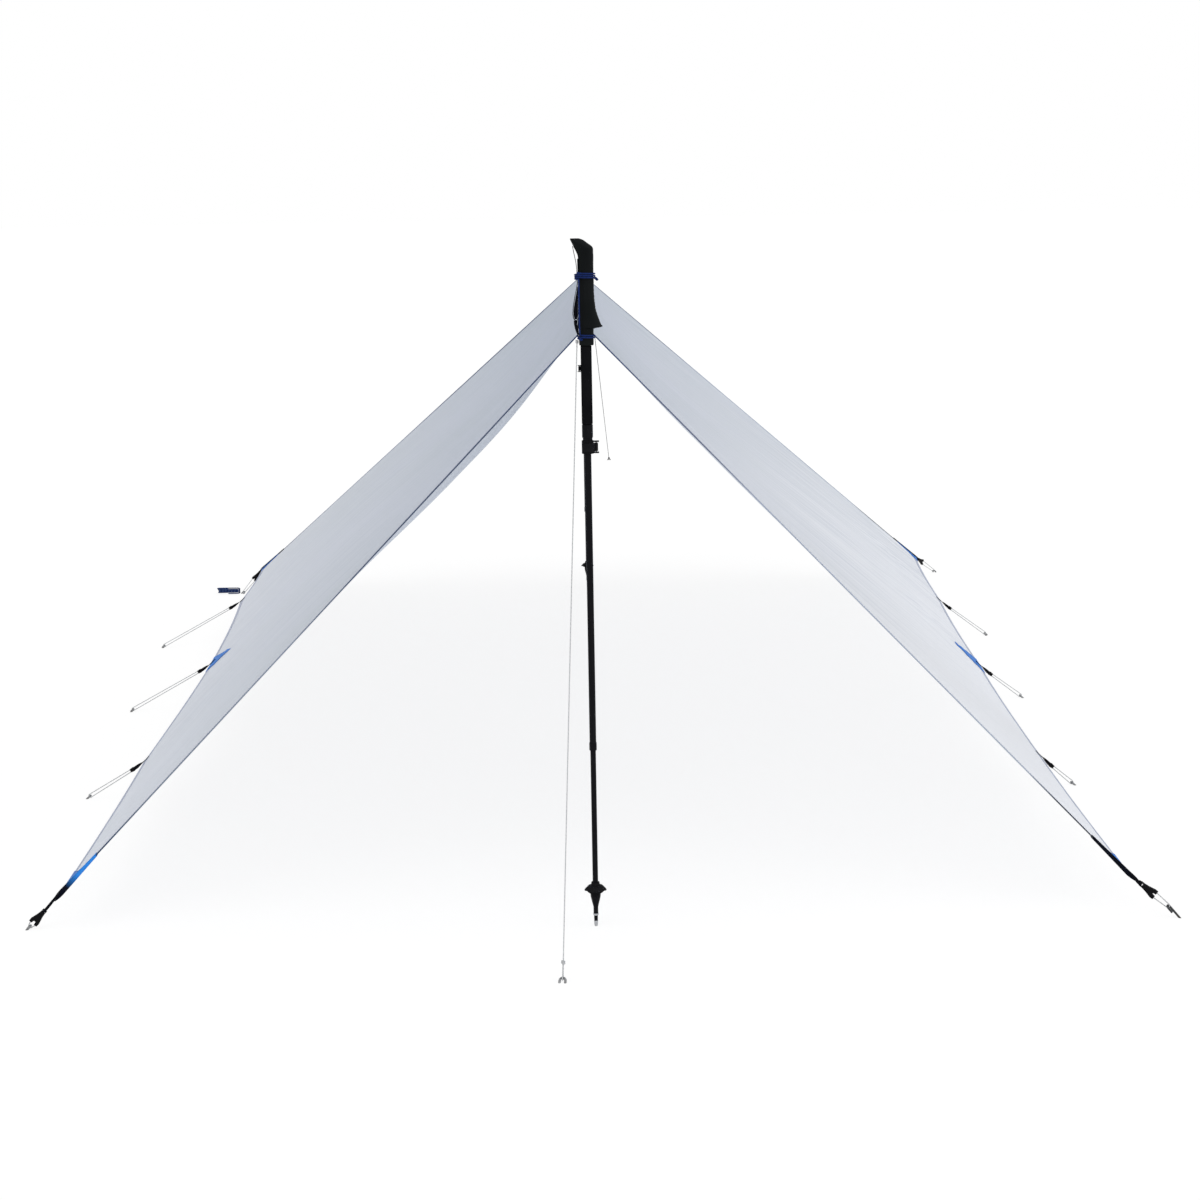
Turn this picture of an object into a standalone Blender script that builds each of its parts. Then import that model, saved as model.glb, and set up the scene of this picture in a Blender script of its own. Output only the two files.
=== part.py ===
"""A ridge tarp pitched on two telescopic walking poles.

Metres, +Z up. The origin is the front pole's foot on the ground. +Y runs along the ridge from the
front pole to the rear one, and +X is to the right of someone who looks along +Y.
"""

import math

import bmesh
import bpy
from mathutils import Matrix, Vector
from mathutils.geometry import intersect_point_line

MM = 0.001
GAP = 0.3 * MM
UP = Vector((0, 0, 1))

# Driving dimensions of the pitch
RIDGE_LENGTH = 3.0
FRONT_RIDGE_HEIGHT = 1.0
REAR_RIDGE_HEIGHT = 0.923
RIDGE_SAG = 12 * MM
REAR_POLE_SHIFT = -6 * MM

# Hem ties from front to rear: distance out from the ridge line, place along it, height
HEM_TIES_LEFT = (
    (0.9006, 0.0316, 0.0637),
    (0.9070, 0.8000, 0.0790),
    (0.8970, 1.5800, 0.1020),
    (0.9350, 2.3100, 0.1070),
    (0.9771, 3.0300, 0.0658),
)
HEM_TIES_RIGHT = (
    (0.9006, 0.0316, 0.0637),
    (0.9030, 0.7800, 0.0620),
    (0.9110, 1.5300, 0.0760),
    (0.9350, 2.2800, 0.0810),
    (0.9771, 3.0300, 0.0658),
)
# Where each stake enters the ground, in the order of the hem ties
STAKES_LEFT = ((-0.962, 0.031), (-1.030, 0.820), (-1.083, 1.547), (-1.136, 2.246), (-1.030, 2.980))
STAKES_RIGHT = ((0.977, -0.014), (0.972, 0.799), (1.010, 1.538), (1.050, 2.226), (1.046, 3.136))
FRONT_RIDGE_STAKE = (-0.050, -0.262)
REAR_RIDGE_STAKE = (0.086, 5.793)
# How far the webbing reaches from a corner of the cloth to its lock: front corner, rear corner
STRAP_REACH_LEFT = (42 * MM, 12 * MM)
STRAP_REACH_RIGHT = (24 * MM, 20 * MM)
CORNERS = (0, 4)
MIDDLE_TIE = 2
TIE_NAMES = ("front", "side_1", "side_2", "side_3", "rear")

# Cloth
CLOTH_THICKNESS = 1.0 * MM
HEM_SCALLOP = 12 * MM
SAG_LEFT = 44 * MM
SAG_RIGHT = 21 * MM
SAG_NEAR = 1.4
SAG_FAR = 4.0
CORNER_PATCH = (0.033, 0.930)
SIDE_PATCH_HALF = 0.024
SEAM_ROW = 0.0125
ACROSS = (0.0, SEAM_ROW, 0.1, 0.2, 0.3, 0.4, 0.5, 0.6, 0.7, 0.8, 0.87, CORNER_PATCH[1], 1.0)
BAY_STEPS = (0.0, 0.16, 0.36, 0.6, 0.84)
PATCH_THICKNESS = 1.0 * MM
SEAM_LEG = 12 * MM
SEAM_THICKNESS = 1.0 * MM

# Webbing, cord and stakes
WEBBING = 1.2 * MM
CORNER_STRAP_WIDTH = 5.0 * MM
STRAP_ON_CLOTH = (26 * MM, -2 * MM)
TAB_WIDTH = 7.0 * MM
TAB_REACH = 24 * MM
TAB_ON_CLOTH = (18 * MM, 0.5 * MM)
TAB_IN_TOGGLE = (-3 * MM, 3 * MM)
CORD_RADIUS = 0.9 * MM
CORD_BORE = CORD_RADIUS + GAP
STAKE_RADIUS = 2.0 * MM
STAKE_BEND = 4.6 * MM
STAKE_SLANT = math.radians(45)
STAKE_DEPTH = 0.10
STAKE_POINT = 12 * MM
STAKE_HOOK_END = 9 * MM
STAKE_HEAD_HEIGHT = 6 * MM
FRONT_RIGHT_HEAD_HEIGHT = 20 * MM
HOOK_STEPS = 6
BIGHT = STAKE_RADIUS + CORD_RADIUS + 2 * GAP
RIDGE_LOOP_LENGTH = 24 * MM
STRAND_ROOM = 0.4 * MM

# Line-locks: one at each corner of the cloth, and a small toggle at each side tie
LOCK_THICKNESS = 4.5 * MM
LOCK_LENGTH = 32 * MM
LOCK_WALL = 1.2 * MM
LOCK_NECK_HALF = CORNER_STRAP_WIDTH / 2 + GAP + LOCK_WALL
LOCK_PRONG_OUT = 8.0 * MM
LOCK_PRONG_IN = 2.6 * MM
LOCK_STRAND = (LOCK_PRONG_OUT + LOCK_PRONG_IN) / 2
LOCK_BORE_START = 22 * MM
LOCK_BAR = 2.0 * MM
LOCK_WINDOW = 3.2 * MM
TOGGLE_LENGTH = 10 * MM
TOGGLE_STRAND = 2.3 * MM
TOGGLE_HALF = TOGGLE_STRAND + CORD_BORE + 0.9 * MM
TOGGLE_BORE_START = 4.5 * MM

# Pole, as heights above the ground with the pole at its front length
TUBE_SIDES = 24
HANDLE_FOOT = 0.972
UPPER_TUBE_IN_HANDLE = 118 * MM
UPPER_TUBE_TOP = HANDLE_FOOT + UPPER_TUBE_IN_HANDLE
UPPER_TUBE_RADIUS = 6.8 * MM
UPPER_WALL = 1.0 * MM
UPPER_BORE = UPPER_TUBE_RADIUS - UPPER_WALL
FOAM_WALL = 2.0 * MM
GRIP_RADIUS = UPPER_TUBE_RADIUS + FOAM_WALL
CLAMP_FOOT = 0.798
CLAMP_TOP = 0.819
CLAMP_RADIUS = UPPER_TUBE_RADIUS + 2.8 * MM
RING_FOOT = 0.824
RING_TOP = 0.8445
NECK_RADIUS = UPPER_TUBE_RADIUS + 1 * MM
LEVER_PIVOT = CLAMP_RADIUS + 4 * MM
LEVER_THICKNESS = 2.2 * MM
LEVER_ARC = 132
LEVER_BOSS = 3.1 * MM
LEVER_PIN = 1 * MM
EAR_HEIGHT = 3 * MM
EAR_HALF = 3.4 * MM
EAR_MARGIN = 0.5 * MM
MIDDLE_RADIUS = UPPER_BORE - GAP
MIDDLE_WALL = 0.6 * MM
MIDDLE_BORE = MIDDLE_RADIUS - MIDDLE_WALL
MIDDLE_TOP = 0.878
COLLAR_FOOT = 0.305
COLLAR_TOP = 0.318
COLLAR_RADIUS = MIDDLE_RADIUS + 0.7 * MM
LOWER_RADIUS = MIDDLE_BORE - GAP
LOWER_TOP = 0.390
FERRULE_TOP = 0.057
FERRULE_RADIUS = LOWER_RADIUS + 4.2 * MM
BASKET_TOP = 0.077
BASKET_RADIUS = 18.5 * MM
BASKET_LOBES = 6
LOBE_DEPTH = 1.0 * MM
LOBE_DROP = 0.8 * MM
REAR_DROP = 0.158
REAR_MIDDLE_IN = 0.080
REAR_LOWER_IN = REAR_DROP - REAR_MIDDLE_IN

# Handle sections: height above the foot, centre x, half width in x, half width in y, all in mm
HANDLE_SECTIONS = (
    (0, 0.8, 10.4, 9.8),
    (2, 0.8, 11.6, 10.8),
    (22, 0.8, 11.8, 10.8),
    (26, 1.4, 12.6, 11.4),
    (29, 6.4, 20.4, 14.0),
    (34, 5.6, 18.4, 14.0),
    (56, 3.4, 13.6, 12.6),
    (78, 2.4, 12.2, 12.0),
    (98, 2.2, 12.0, 11.4),
    (122, 1.9, 12.0, 11.0),
    (138, 1.9, 12.3, 11.4),
    (145, 0.9, 13.1, 12.0),
    (154, -1.8, 14.8, 12.6),
    (161, -7.6, 12.2, 11.0),
    (165.5, -11.8, 10.2, 8.4),
    (168, -15.2, 7.2, 5.2),
)
HANDLE_SIDES = 20
HANDLE_LIP_DEPTH = max(section[3] for section in HANDLE_SECTIONS) * MM
RIDGE_END = HANDLE_LIP_DEPTH + GAP

# Blue cord on the handle, as heights above the handle's foot
BAND_CENTRE = 109 * MM
BAND_TURNS = 3
WRAP_CENTRE = 13 * MM
WRAP_TURNS = 2
STRAND_SPAN = (88 * MM, 28 * MM)
STRAND_LEFT = 9.8 * MM
BLUE_CORD_RADIUS = 1.2 * MM
BLUE_CORD_PITCH = 3.1 * MM
BLUE_CORD_ROOM = 0.3 * MM
BLUE_CORD_TURN_POINTS = 14
BLUE_CORD_FIRST = 9
TIE_KNOT_RADIUS = 2.8 * MM
LOOP_KNOT_RADIUS = 3.6 * MM
KNOT_HALF_LENGTH = 3 * MM

# Wrist strap. Heights are in mm above the handle's foot, and so is the second number of a pair,
# whose first is a share of a layer, or a distance out from the pole's axis in mm
STRAP_THICKNESS = 1.0 * MM
STRAP_WIDTH = 10 * MM
STRAP_LAYER = STRAP_THICKNESS + 2 * GAP
STRAP_DOWN = (136, 128, 116, 102, 78, 56, 46)
STRAP_TURN = ((0.1, 42), (0.7, 39.5))
STRAP_BULGE = ((16.8, 39.5), (19.4, 45), (19.8, 54), (17.2, 72))
STRAP_UP = (96, 102, 116)
STRAP_END = ((13.0, 124), (13.8, 131), (15.2, 138), (16.6, 145), (17.7, 151), (18.5, 156))

# Hank of spare cord
HANK_CORD_RADIUS = 1.5 * MM
HANK_LOOPS = 4
HANK_LOOP_POINTS = 24
HANK_HALF_LENGTH = 36 * MM
HANK_HALF_WIDTH = 7.5 * MM
HANK_PITCH = 3.8 * MM
HANK_FAN = 2 * MM
LEAST_SELF_GAP = 0.4 * MM

CLOTH = (0.62, 0.66, 0.78)
BLUE = (0.02, 0.20, 0.72)
NAVY = (0.02, 0.05, 0.20)
BLACK = (0.012, 0.012, 0.014)
WHITE_CORD = (0.70, 0.70, 0.70)
METAL = (0.45, 0.46, 0.48)


# Scene, objects and materials


for old in list(bpy.data.objects):
    bpy.data.objects.remove(old, do_unlink=True)

PARTS = bpy.data.collections.new("camping_tarp")
CUTTERS = bpy.data.collections.new("cutters")
for collection in (PARTS, CUTTERS):
    bpy.context.scene.collection.children.link(collection)


def new_object(name, data, helper=False):
    obj = bpy.data.objects.new(name, data)
    (CUTTERS if helper else PARTS).objects.link(obj)
    if helper:
        obj.hide_render = True
        obj.display_type = "WIRE"
    return obj


def painted(obj, colour, roughness=0.6, metallic=0.0):
    material = bpy.data.materials.new(obj.name)
    material.use_nodes = True
    shader = material.node_tree.nodes["Principled BSDF"]
    shader.inputs["Base Color"].default_value = (*colour, 1)
    shader.inputs["Roughness"].default_value = roughness
    shader.inputs["Metallic"].default_value = metallic
    obj.data.materials.clear()
    obj.data.materials.append(material)
    return obj


def smooth(obj):
    for face in obj.data.polygons:
        face.use_smooth = True
    return obj


def mesh_object(name, points, faces, helper=False):
    mesh = bpy.data.meshes.new(name)
    mesh.from_pydata([tuple(point) for point in points], [], faces)
    shape = bmesh.new()
    shape.from_mesh(mesh)
    bmesh.ops.recalc_face_normals(shape, faces=shape.faces)
    shape.to_mesh(mesh)
    shape.free()
    return new_object(name, mesh, helper)


def lofted(name, rings, closed=False, helper=False):
    """A skin over rings of equally many points: capped at both ends, or closed on itself."""
    sides = len(rings[0])
    points = [point for ring in rings for point in ring]
    faces = []
    for row in range(len(rings) if closed else len(rings) - 1):
        here, there = row * sides, (row + 1) % len(rings) * sides
        for side in range(sides):
            after = (side + 1) % sides
            faces.append((here + side, here + after, there + after, there + side))
    if not closed:
        faces.append(tuple(range(sides)))
        faces.append(tuple(range(len(points) - sides, len(points))))
    return mesh_object(name, points, faces, helper)


def turned(name, profile, hollow=False, helper=False):
    """A profile of (radius, height) turned about Z. It runs down the outer side from the top."""
    mesh = bpy.data.meshes.new(name)
    edges = [(i, i + 1) for i in range(len(profile) - 1)]
    if hollow:
        edges.append((len(profile) - 1, 0))
    mesh.from_pydata([(radius, 0, height) for radius, height in profile], edges, [])
    obj = new_object(name, mesh, helper)
    screw = obj.modifiers.new("turn", "SCREW")
    screw.steps = TUBE_SIDES
    screw.render_steps = TUBE_SIDES
    screw.use_merge_vertices = True
    screw.merge_threshold = 0.00001
    screw.use_smooth_shade = True
    return obj


def tube(name, points, radius, factors=None, resolution=2, helper=False):
    """A round cord or rod along a polyline, with closed ends."""
    curve = bpy.data.curves.new(name, "CURVE")
    curve.dimensions = "3D"
    curve.bevel_depth = radius
    curve.bevel_resolution = resolution
    curve.use_fill_caps = True
    spline = curve.splines.new("POLY")
    spline.points.add(len(points) - 1)
    for index, point in enumerate(points):
        spline.points[index].co = (*point, 1)
        spline.points[index].radius = factors[index] if factors else 1.0
    guide = new_object(name + "_guide", curve, helper=True)
    bpy.context.view_layer.update()
    mesh = bpy.data.meshes.new_from_object(guide.evaluated_get(bpy.context.evaluated_depsgraph_get()))
    bpy.data.objects.remove(guide, do_unlink=True)
    shape = bmesh.new()
    shape.from_mesh(mesh)
    bmesh.ops.remove_doubles(shape, verts=shape.verts, dist=1e-6)
    bmesh.ops.recalc_face_normals(shape, faces=shape.faces)
    shape.to_mesh(mesh)
    shape.free()
    mesh.name = name
    return smooth(new_object(name, mesh, helper))


def ribbon(name, stations, width, thickness, helper=False):
    """Flat webbing through stations of (point, sideways direction)."""
    rings = []
    for index, (point, sideways) in enumerate(stations):
        before = stations[max(index - 1, 0)][0]
        after = stations[min(index + 1, len(stations) - 1)][0]
        ahead = (after - before).normalized()
        normal = ahead.cross(sideways).normalized() * thickness / 2
        side = normal.normalized().cross(ahead).normalized() * width / 2
        rings.append([point + across + through for across, through in (
            (side, normal), (-side, normal), (-side, -normal), (side, -normal),
        )])
    return lofted(name, rings, helper=helper)


def plate(name, outline, thickness, helper=False):
    """An outline in X and Y, made thick about Z = 0."""
    rings = [[Vector((x, y, height)) for x, y in outline] for height in (-thickness / 2, thickness / 2)]
    return lofted(name, rings, helper=helper)


def block(name, low, high, helper=False):
    outline = ((low[0], low[1]), (high[0], low[1]), (high[0], high[1]), (low[0], high[1]))
    rings = [[Vector((x, y, height)) for x, y in outline] for height in (low[2], high[2])]
    return lofted(name, rings, helper=helper)


def rod(name, start, end, radius, sides=12):
    """A straight helper cylinder between two points."""
    ahead = (end - start).normalized()
    side = ahead.orthogonal().normalized()
    other = ahead.cross(side)
    turns = [2 * math.pi * index / sides for index in range(sides)]
    ring = [(side * math.cos(turn) + other * math.sin(turn)) * radius for turn in turns]
    return lofted(name, [[start + offset for offset in ring], [end + offset for offset in ring]], helper=True)


def combine(obj, other, operation):
    boolean = obj.modifiers.new(other.name, "BOOLEAN")
    boolean.operation = operation
    boolean.solver = "EXACT"
    boolean.object = other
    return obj


def at(obj, matrix):
    obj.matrix_world = matrix
    return obj


# Cloth: two slopes that hang between the ridge and the hem ties


def ridge_point(along):
    start = Vector((0, RIDGE_END, FRONT_RIDGE_HEIGHT))
    end = Vector((REAR_POLE_SHIFT, RIDGE_LENGTH - RIDGE_END, REAR_RIDGE_HEIGHT))
    return start.lerp(end, along) - UP * RIDGE_SAG * math.sin(math.pi * along)


def hem_tie(side, index):
    out, along, height = (HEM_TIES_LEFT if side < 0 else HEM_TIES_RIGHT)[index]
    return Vector((side * out, along, height))


def hem_point(side, along):
    bay = min(int(along * 4), 3)
    part = along * 4 - bay
    point = hem_tie(side, bay).lerp(hem_tie(side, bay + 1), part)
    inwards = (ridge_point(along) - point).normalized()
    return point + inwards * HEM_SCALLOP * math.sin(math.pi * part)


def sag_share(across):
    """The sag between ridge and hem, as a share of its depth at the deepest place."""
    deepest = SAG_NEAR / (SAG_NEAR + SAG_FAR)
    return (across / deepest) ** SAG_NEAR * ((1 - across) / (1 - deepest)) ** SAG_FAR


def cloth_point(side, across, along):
    """across runs from 0 on the ridge to 1 on the hem, along from 0 at the front to 1 at the rear."""
    ridge, hem = ridge_point(along), hem_point(side, along)
    ridge_side = ridge + (hem - ridge).normalized() * CLOTH_THICKNESS
    outwards = (hem - ridge).cross(Vector((0, side, 0))).normalized()
    depth = (SAG_LEFT if side < 0 else SAG_RIGHT) * (1 - (1 - 2 * along) ** 4)
    return ridge_side.lerp(hem, across) - outwards * depth * sag_share(across)


def bay_lines():
    """The places along the ridge where the cloth has a row of points."""
    lines = [(bay + step) / 4 for bay in range(4) for step in BAY_STEPS]
    lines += [CORNER_PATCH[0], 1 - CORNER_PATCH[0], 0.5 - SIDE_PATCH_HALF, 0.5 + SIDE_PATCH_HALF, 1.0]
    return sorted(set(round(line, 4) for line in lines if not 0 < line < CORNER_PATCH[0] - 1e-6))


ALONG = bay_lines()


def diagonal_falls(row, column):
    """Whether a cell is cut from its front ridge corner to its rear hem corner."""
    rearwards = ALONG[row]
    on_hem = column == len(ACROSS) - 2
    if on_hem and rearwards >= 0.5 and row < len(ALONG) - 2:
        return True
    return on_hem and row == 0


def cloth_panel(name, side):
    rows, columns = len(ALONG), len(ACROSS)
    points = [cloth_point(side, across, along) for along in ALONG for across in ACROSS]
    faces = []
    for row in range(rows - 1):
        for column in range(columns - 1):
            a = row * columns + column
            b, c, d = a + 1, a + columns + 1, a + columns
            if diagonal_falls(row, column):
                faces += [(a, b, c), (a, c, d)]
            else:
                faces += [(a, b, d), (b, c, d)]
    mesh = bpy.data.meshes.new(name)
    mesh.from_pydata(points, [], faces if side < 0 else [face[::-1] for face in faces])
    panel = new_object(name, mesh)
    solid = panel.modifiers.new("thickness", "SOLIDIFY")
    solid.thickness = CLOTH_THICKNESS
    solid.offset = 0
    return painted(panel, CLOTH, 0.7)


def outward_normal(side, corners):
    a, b, c = [cloth_point(side, *corner) for corner in corners]
    normal = (b - a).cross(c - a).normalized()
    return normal if normal.x * side > 0 else -normal


def patch(name, side, triangles, helper=False):
    """A plate that lies GAP above some triangles of the cloth, each three (across, along) places."""
    lowest = CLOTH_THICKNESS / 2 + GAP
    places = sorted({place for triangle in triangles for place in triangle})
    normals = [
        sum((outward_normal(side, t) for t in triangles if place in t), Vector()).normalized()
        for place in places
    ]
    bases = [cloth_point(side, *place) for place in places]
    count = len(places)
    points = [base + normal * lowest for base, normal in zip(bases, normals)]
    points += [base + normal * (lowest + PATCH_THICKNESS) for base, normal in zip(bases, normals)]
    faces = []
    edges = {}
    for triangle in triangles:
        a, b, c = [places.index(place) for place in triangle]
        faces += [(a, b, c), (a + count, b + count, c + count)]
        for edge in ((a, b), (b, c), (c, a)):
            key = tuple(sorted(edge))
            edges[key] = edges.get(key, 0) + 1
    faces += [(a, b, b + count, a + count) for (a, b), uses in edges.items() if uses == 1]
    return mesh_object(name, points, faces, helper)


# Ridge seam: a tape folded over the ridge


def ridge_seam():
    rings = []
    for along in ALONG:
        ridge = ridge_point(along)
        legs = []
        for side in (-1, 1):
            down = (cloth_point(side, ACROSS[1], along) - ridge).normalized()
            out = Vector((side * -down.z, 0, side * down.x)).normalized()
            legs.append((down, out))
        low, high = CLOTH_THICKNESS / 2 + GAP, CLOTH_THICKNESS / 2 + GAP + SEAM_THICKNESS
        (left_down, left_out), (right_down, right_out) = legs
        peak = 1 / left_out.z
        rings.append([
            ridge + left_down * SEAM_LEG + left_out * high,
            ridge + UP * high * peak,
            ridge + right_down * SEAM_LEG + right_out * high,
            ridge + right_down * SEAM_LEG + right_out * low,
            ridge + UP * low * peak,
            ridge + left_down * SEAM_LEG + left_out * low,
        ])
    return painted(lofted("ridge_seam", rings), CLOTH, 0.6)


# Ties: strap or tab, line-lock, cord and stake, all along one pull line


def pull_frame(origin, pull):
    """X along the pull and Z level, so that a lock stands on edge with one strand above the other."""
    level = pull.cross(UP).normalized()
    return Matrix.Translation(origin) @ Matrix((pull, level.cross(pull), level)).transposed().to_4x4()


def stake_axes(anchor, ground):
    """A stake's own directions: down its rod, and level across its hook."""
    outwards = Vector((ground[0] - anchor.x, ground[1] - anchor.y, 0)).normalized()
    down = outwards * math.cos(STAKE_SLANT) - UP * math.sin(STAKE_SLANT)
    return down, down.cross(UP).normalized()


def stake_head(anchor, ground, height):
    """The middle of the rod at the hook's top, with the straight part through the ground point."""
    down, level = stake_axes(anchor, ground)
    return Vector((*ground, 0)) + level * STAKE_BEND - down * height / math.sin(STAKE_SLANT)


def stake(name, anchor, ground, height):
    """A thin rod with a hooked head, driven at a slant. The hook lies level, on the far side."""
    down, level = stake_axes(anchor, ground)
    centre = stake_head(anchor, ground, height) + down * STAKE_BEND
    leg = centre - level * STAKE_BEND
    tip = leg + down * (leg.z + STAKE_DEPTH) / math.sin(STAKE_SLANT)
    path = [tip, tip - down * STAKE_POINT]
    for step in range(HOOK_STEPS + 1):
        turn = math.pi * step / HOOK_STEPS
        path.append(centre - (level * math.cos(turn) + down * math.sin(turn)) * STAKE_BEND)
    path.append(path[-1] + down * STAKE_HOOK_END)
    factors = [0.15] + [1.0] * (len(path) - 1)
    return painted(tube(name, path, STAKE_RADIUS, factors), METAL, 0.35, 1.0)


def free_leg(anchor, ground, height):
    """Both ends of the straight piece after a stake's hook."""
    down, level = stake_axes(anchor, ground)
    start = stake_head(anchor, ground, height) + (down + level) * STAKE_BEND
    return start, start + down * STAKE_HOOK_END


def bight(head, down, level):
    """The points of a cord that goes round a stake's hook, from below it to above it."""
    upright = level.cross(down)
    turns = [math.pi * step / HOOK_STEPS for step in range(HOOK_STEPS + 1)]
    return [head + (down * math.sin(turn) - upright * math.cos(turn)) * BIGHT for turn in turns]


def drill_strands(obj, matrix, strand, start, end):
    for index, lateral in enumerate((-strand, strand)):
        ends = [matrix @ Vector((x, lateral, 0)) for x in (start, end + 2 * MM)]
        combine(obj, rod(f"{obj.name}_bore_{index}", *ends, CORD_BORE), "DIFFERENCE")


def lock_outline():
    """One side of the lock from its neck to the notch between the prongs, then the other side."""
    half = (
        (0, LOCK_NECK_HALF), (0.2 * LOCK_LENGTH, LOCK_NECK_HALF),
        (0.45 * LOCK_LENGTH, LOCK_NECK_HALF + LOCK_WALL),
        (0.84 * LOCK_LENGTH, LOCK_PRONG_OUT + 0.4 * MM), (LOCK_LENGTH, LOCK_PRONG_OUT),
        (LOCK_LENGTH, LOCK_PRONG_IN), (0.83 * LOCK_LENGTH, LOCK_PRONG_IN - 1 * MM),
    )
    return list(half) + [(x, -y) for x, y in reversed(half)]


def corner_lock(name, matrix):
    """A forked line-lock: the webbing passes round its bar, the cord through its two prongs."""
    lock = at(plate(name, lock_outline(), LOCK_THICKNESS), matrix)
    half = CORNER_STRAP_WIDTH / 2 + GAP
    low, high = (LOCK_BAR, -half, -LOCK_THICKNESS), (LOCK_BAR + LOCK_WINDOW, half, LOCK_THICKNESS)
    combine(lock, at(block(name + "_window", low, high, True), matrix), "DIFFERENCE")
    drill_strands(lock, matrix, LOCK_STRAND, LOCK_BORE_START, LOCK_LENGTH)
    return painted(lock, BLACK, 0.45)


def twisted(stations, point, sideways):
    """Stations with one more half way to a point, turned half way to its sideways direction."""
    last, flat = stations[-1]
    return stations + [(last.lerp(point, 0.5), (flat + sideways).normalized()), (point, sideways)]


def cloth_stations(base, ahead, normal, reaches, lift, sideways):
    """Stations that lie on the cloth behind a point of its edge."""
    flat = ahead.cross(normal).normalized()
    flat = flat if flat.dot(sideways) > 0 else -flat
    return [(base - ahead * reach + normal * lift, flat) for reach in reaches]


def strap_stations(side, triangle, matrix):
    """Webbing from the patch over the cloth's corner, round the lock's bar and back beside itself."""
    corner = cloth_point(side, *triangle[1])
    centre = sum((cloth_point(side, *place) for place in triangle), Vector()) / 3
    ahead = (corner - centre).normalized()
    sideways = matrix.col[1].to_3d()
    lift = CLOTH_THICKNESS / 2 + 2 * GAP + PATCH_THICKNESS
    stations = cloth_stations(corner, ahead, outward_normal(side, triangle), STRAP_ON_CLOTH, lift, sideways)
    over = LOCK_THICKNESS / 2 + GAP + WEBBING / 2
    front, back, bend = LOCK_BAR + GAP + WEBBING / 2, -4 * MM, 0.8 * MM
    stations = twisted(stations, matrix @ Vector((back, 0, over)), sideways)
    half = ((front - bend, over), (front, over - bend))
    loop = half + tuple((x, -z) for x, z in reversed(half)) + ((back, -over),)
    return stations + [(matrix @ Vector((x, 0, z)), sideways) for x, z in loop]


def doubled_guy(name, matrix, start, end, strand, head, axes):
    """A cord from one bore of a lock, round the stake's hook and back into the lock's other bore."""
    there = [matrix @ Vector((x, -strand, 0)) for x in (start + GAP, end)]
    back = [matrix @ Vector((x, strand, 0)) for x in (end, start + GAP)]
    path = there + bight(head, *axes) + back
    return painted(tube(name, path, CORD_RADIUS), WHITE_CORD, 0.8)


def tie(side, index):
    side_name = "left" if side < 0 else "right"
    label = f"{TIE_NAMES[index]}_{side_name}"
    anchor = hem_tie(side, index)
    ground = (STAKES_LEFT if side < 0 else STAKES_RIGHT)[index]
    is_front_right = side > 0 and index == 0
    height = FRONT_RIGHT_HEAD_HEIGHT if is_front_right else STAKE_HEAD_HEIGHT
    stake("stake_" + label, anchor, ground, height)
    head = stake_head(anchor, ground, height)
    axes = stake_axes(anchor, ground)
    pull = (head - anchor).normalized()
    if index in CORNERS:
        reach = (STRAP_REACH_LEFT if side < 0 else STRAP_REACH_RIGHT)[CORNERS.index(index)]
        matrix = pull_frame(anchor + pull * reach, pull)
        far = 1.0 if index else 0.0
        near = 1 - CORNER_PATCH[0] if index else CORNER_PATCH[0]
        triangle = ((CORNER_PATCH[1], far), (1.0, far), (1.0, near))
        cloth_corner = patch("corner_patch_" + label, side, [triangle])
        stations = strap_stations(side, triangle, matrix)
        strap = ribbon(label + "_strap", stations, CORNER_STRAP_WIDTH, WEBBING, True)
        painted(combine(cloth_corner, strap, "UNION"), BLUE, 0.6)
        corner_lock("corner_lock_" + label, matrix)
        doubled_guy("guy_" + label, matrix, LOCK_BORE_START, LOCK_LENGTH, LOCK_STRAND, head, axes)
        return
    matrix = pull_frame(anchor + pull * TAB_REACH, pull)
    tieout = side_tieout("tieout_" + label, side, index, matrix)
    drill_strands(tieout, matrix, TOGGLE_STRAND, TOGGLE_BORE_START, TOGGLE_LENGTH)
    doubled_guy("guy_" + label, matrix, TOGGLE_BORE_START, TOGGLE_LENGTH, TOGGLE_STRAND, head, axes)


def side_tieout(name, side, index, matrix):
    """A webbing tab on the hem that carries a small line-lock, on a blue patch at the middle."""
    thin = TOGGLE_HALF - 0.8 * MM
    lower = ((0, -thin), (2 * MM, -TOGGLE_HALF), (TOGGLE_LENGTH, -thin))
    outline = lower + tuple((x, -y) for x, y in reversed(lower))
    toggle = at(plate(name, outline, LOCK_THICKNESS), matrix)
    here = index / 4
    normal = outward_normal(side, ((ACROSS[-2], here), (1.0, here), (1.0, here + SIDE_PATCH_HALF)))
    hem = cloth_point(side, 1.0, here)
    ahead = (hem - cloth_point(side, ACROSS[-2], here)).normalized()
    sideways = matrix.col[1].to_3d()
    lift = CLOTH_THICKNESS / 2 + 2 * GAP + WEBBING / 2 + (PATCH_THICKNESS - GAP if index == MIDDLE_TIE else 0)
    stations = cloth_stations(hem, ahead, normal, TAB_ON_CLOTH, lift, sideways)
    stations = twisted(stations, matrix @ Vector((TAB_IN_TOGGLE[0], 0, 0)), sideways)
    stations.append((matrix @ Vector((TAB_IN_TOGGLE[1], 0, 0)), sideways))
    combine(toggle, ribbon(name + "_tab", stations, TAB_WIDTH, WEBBING, True), "UNION")
    if index == MIDDLE_TIE:
        ends = (here - SIDE_PATCH_HALF, here + SIDE_PATCH_HALF)
        triangles = [((ACROSS[-2], here), (1.0, here), (1.0, end)) for end in ends]
        combine(toggle, patch(name + "_patch", side, triangles, True), "UNION")
    return painted(toggle, BLUE if index == MIDDLE_TIE else BLACK, 0.5)


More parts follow.
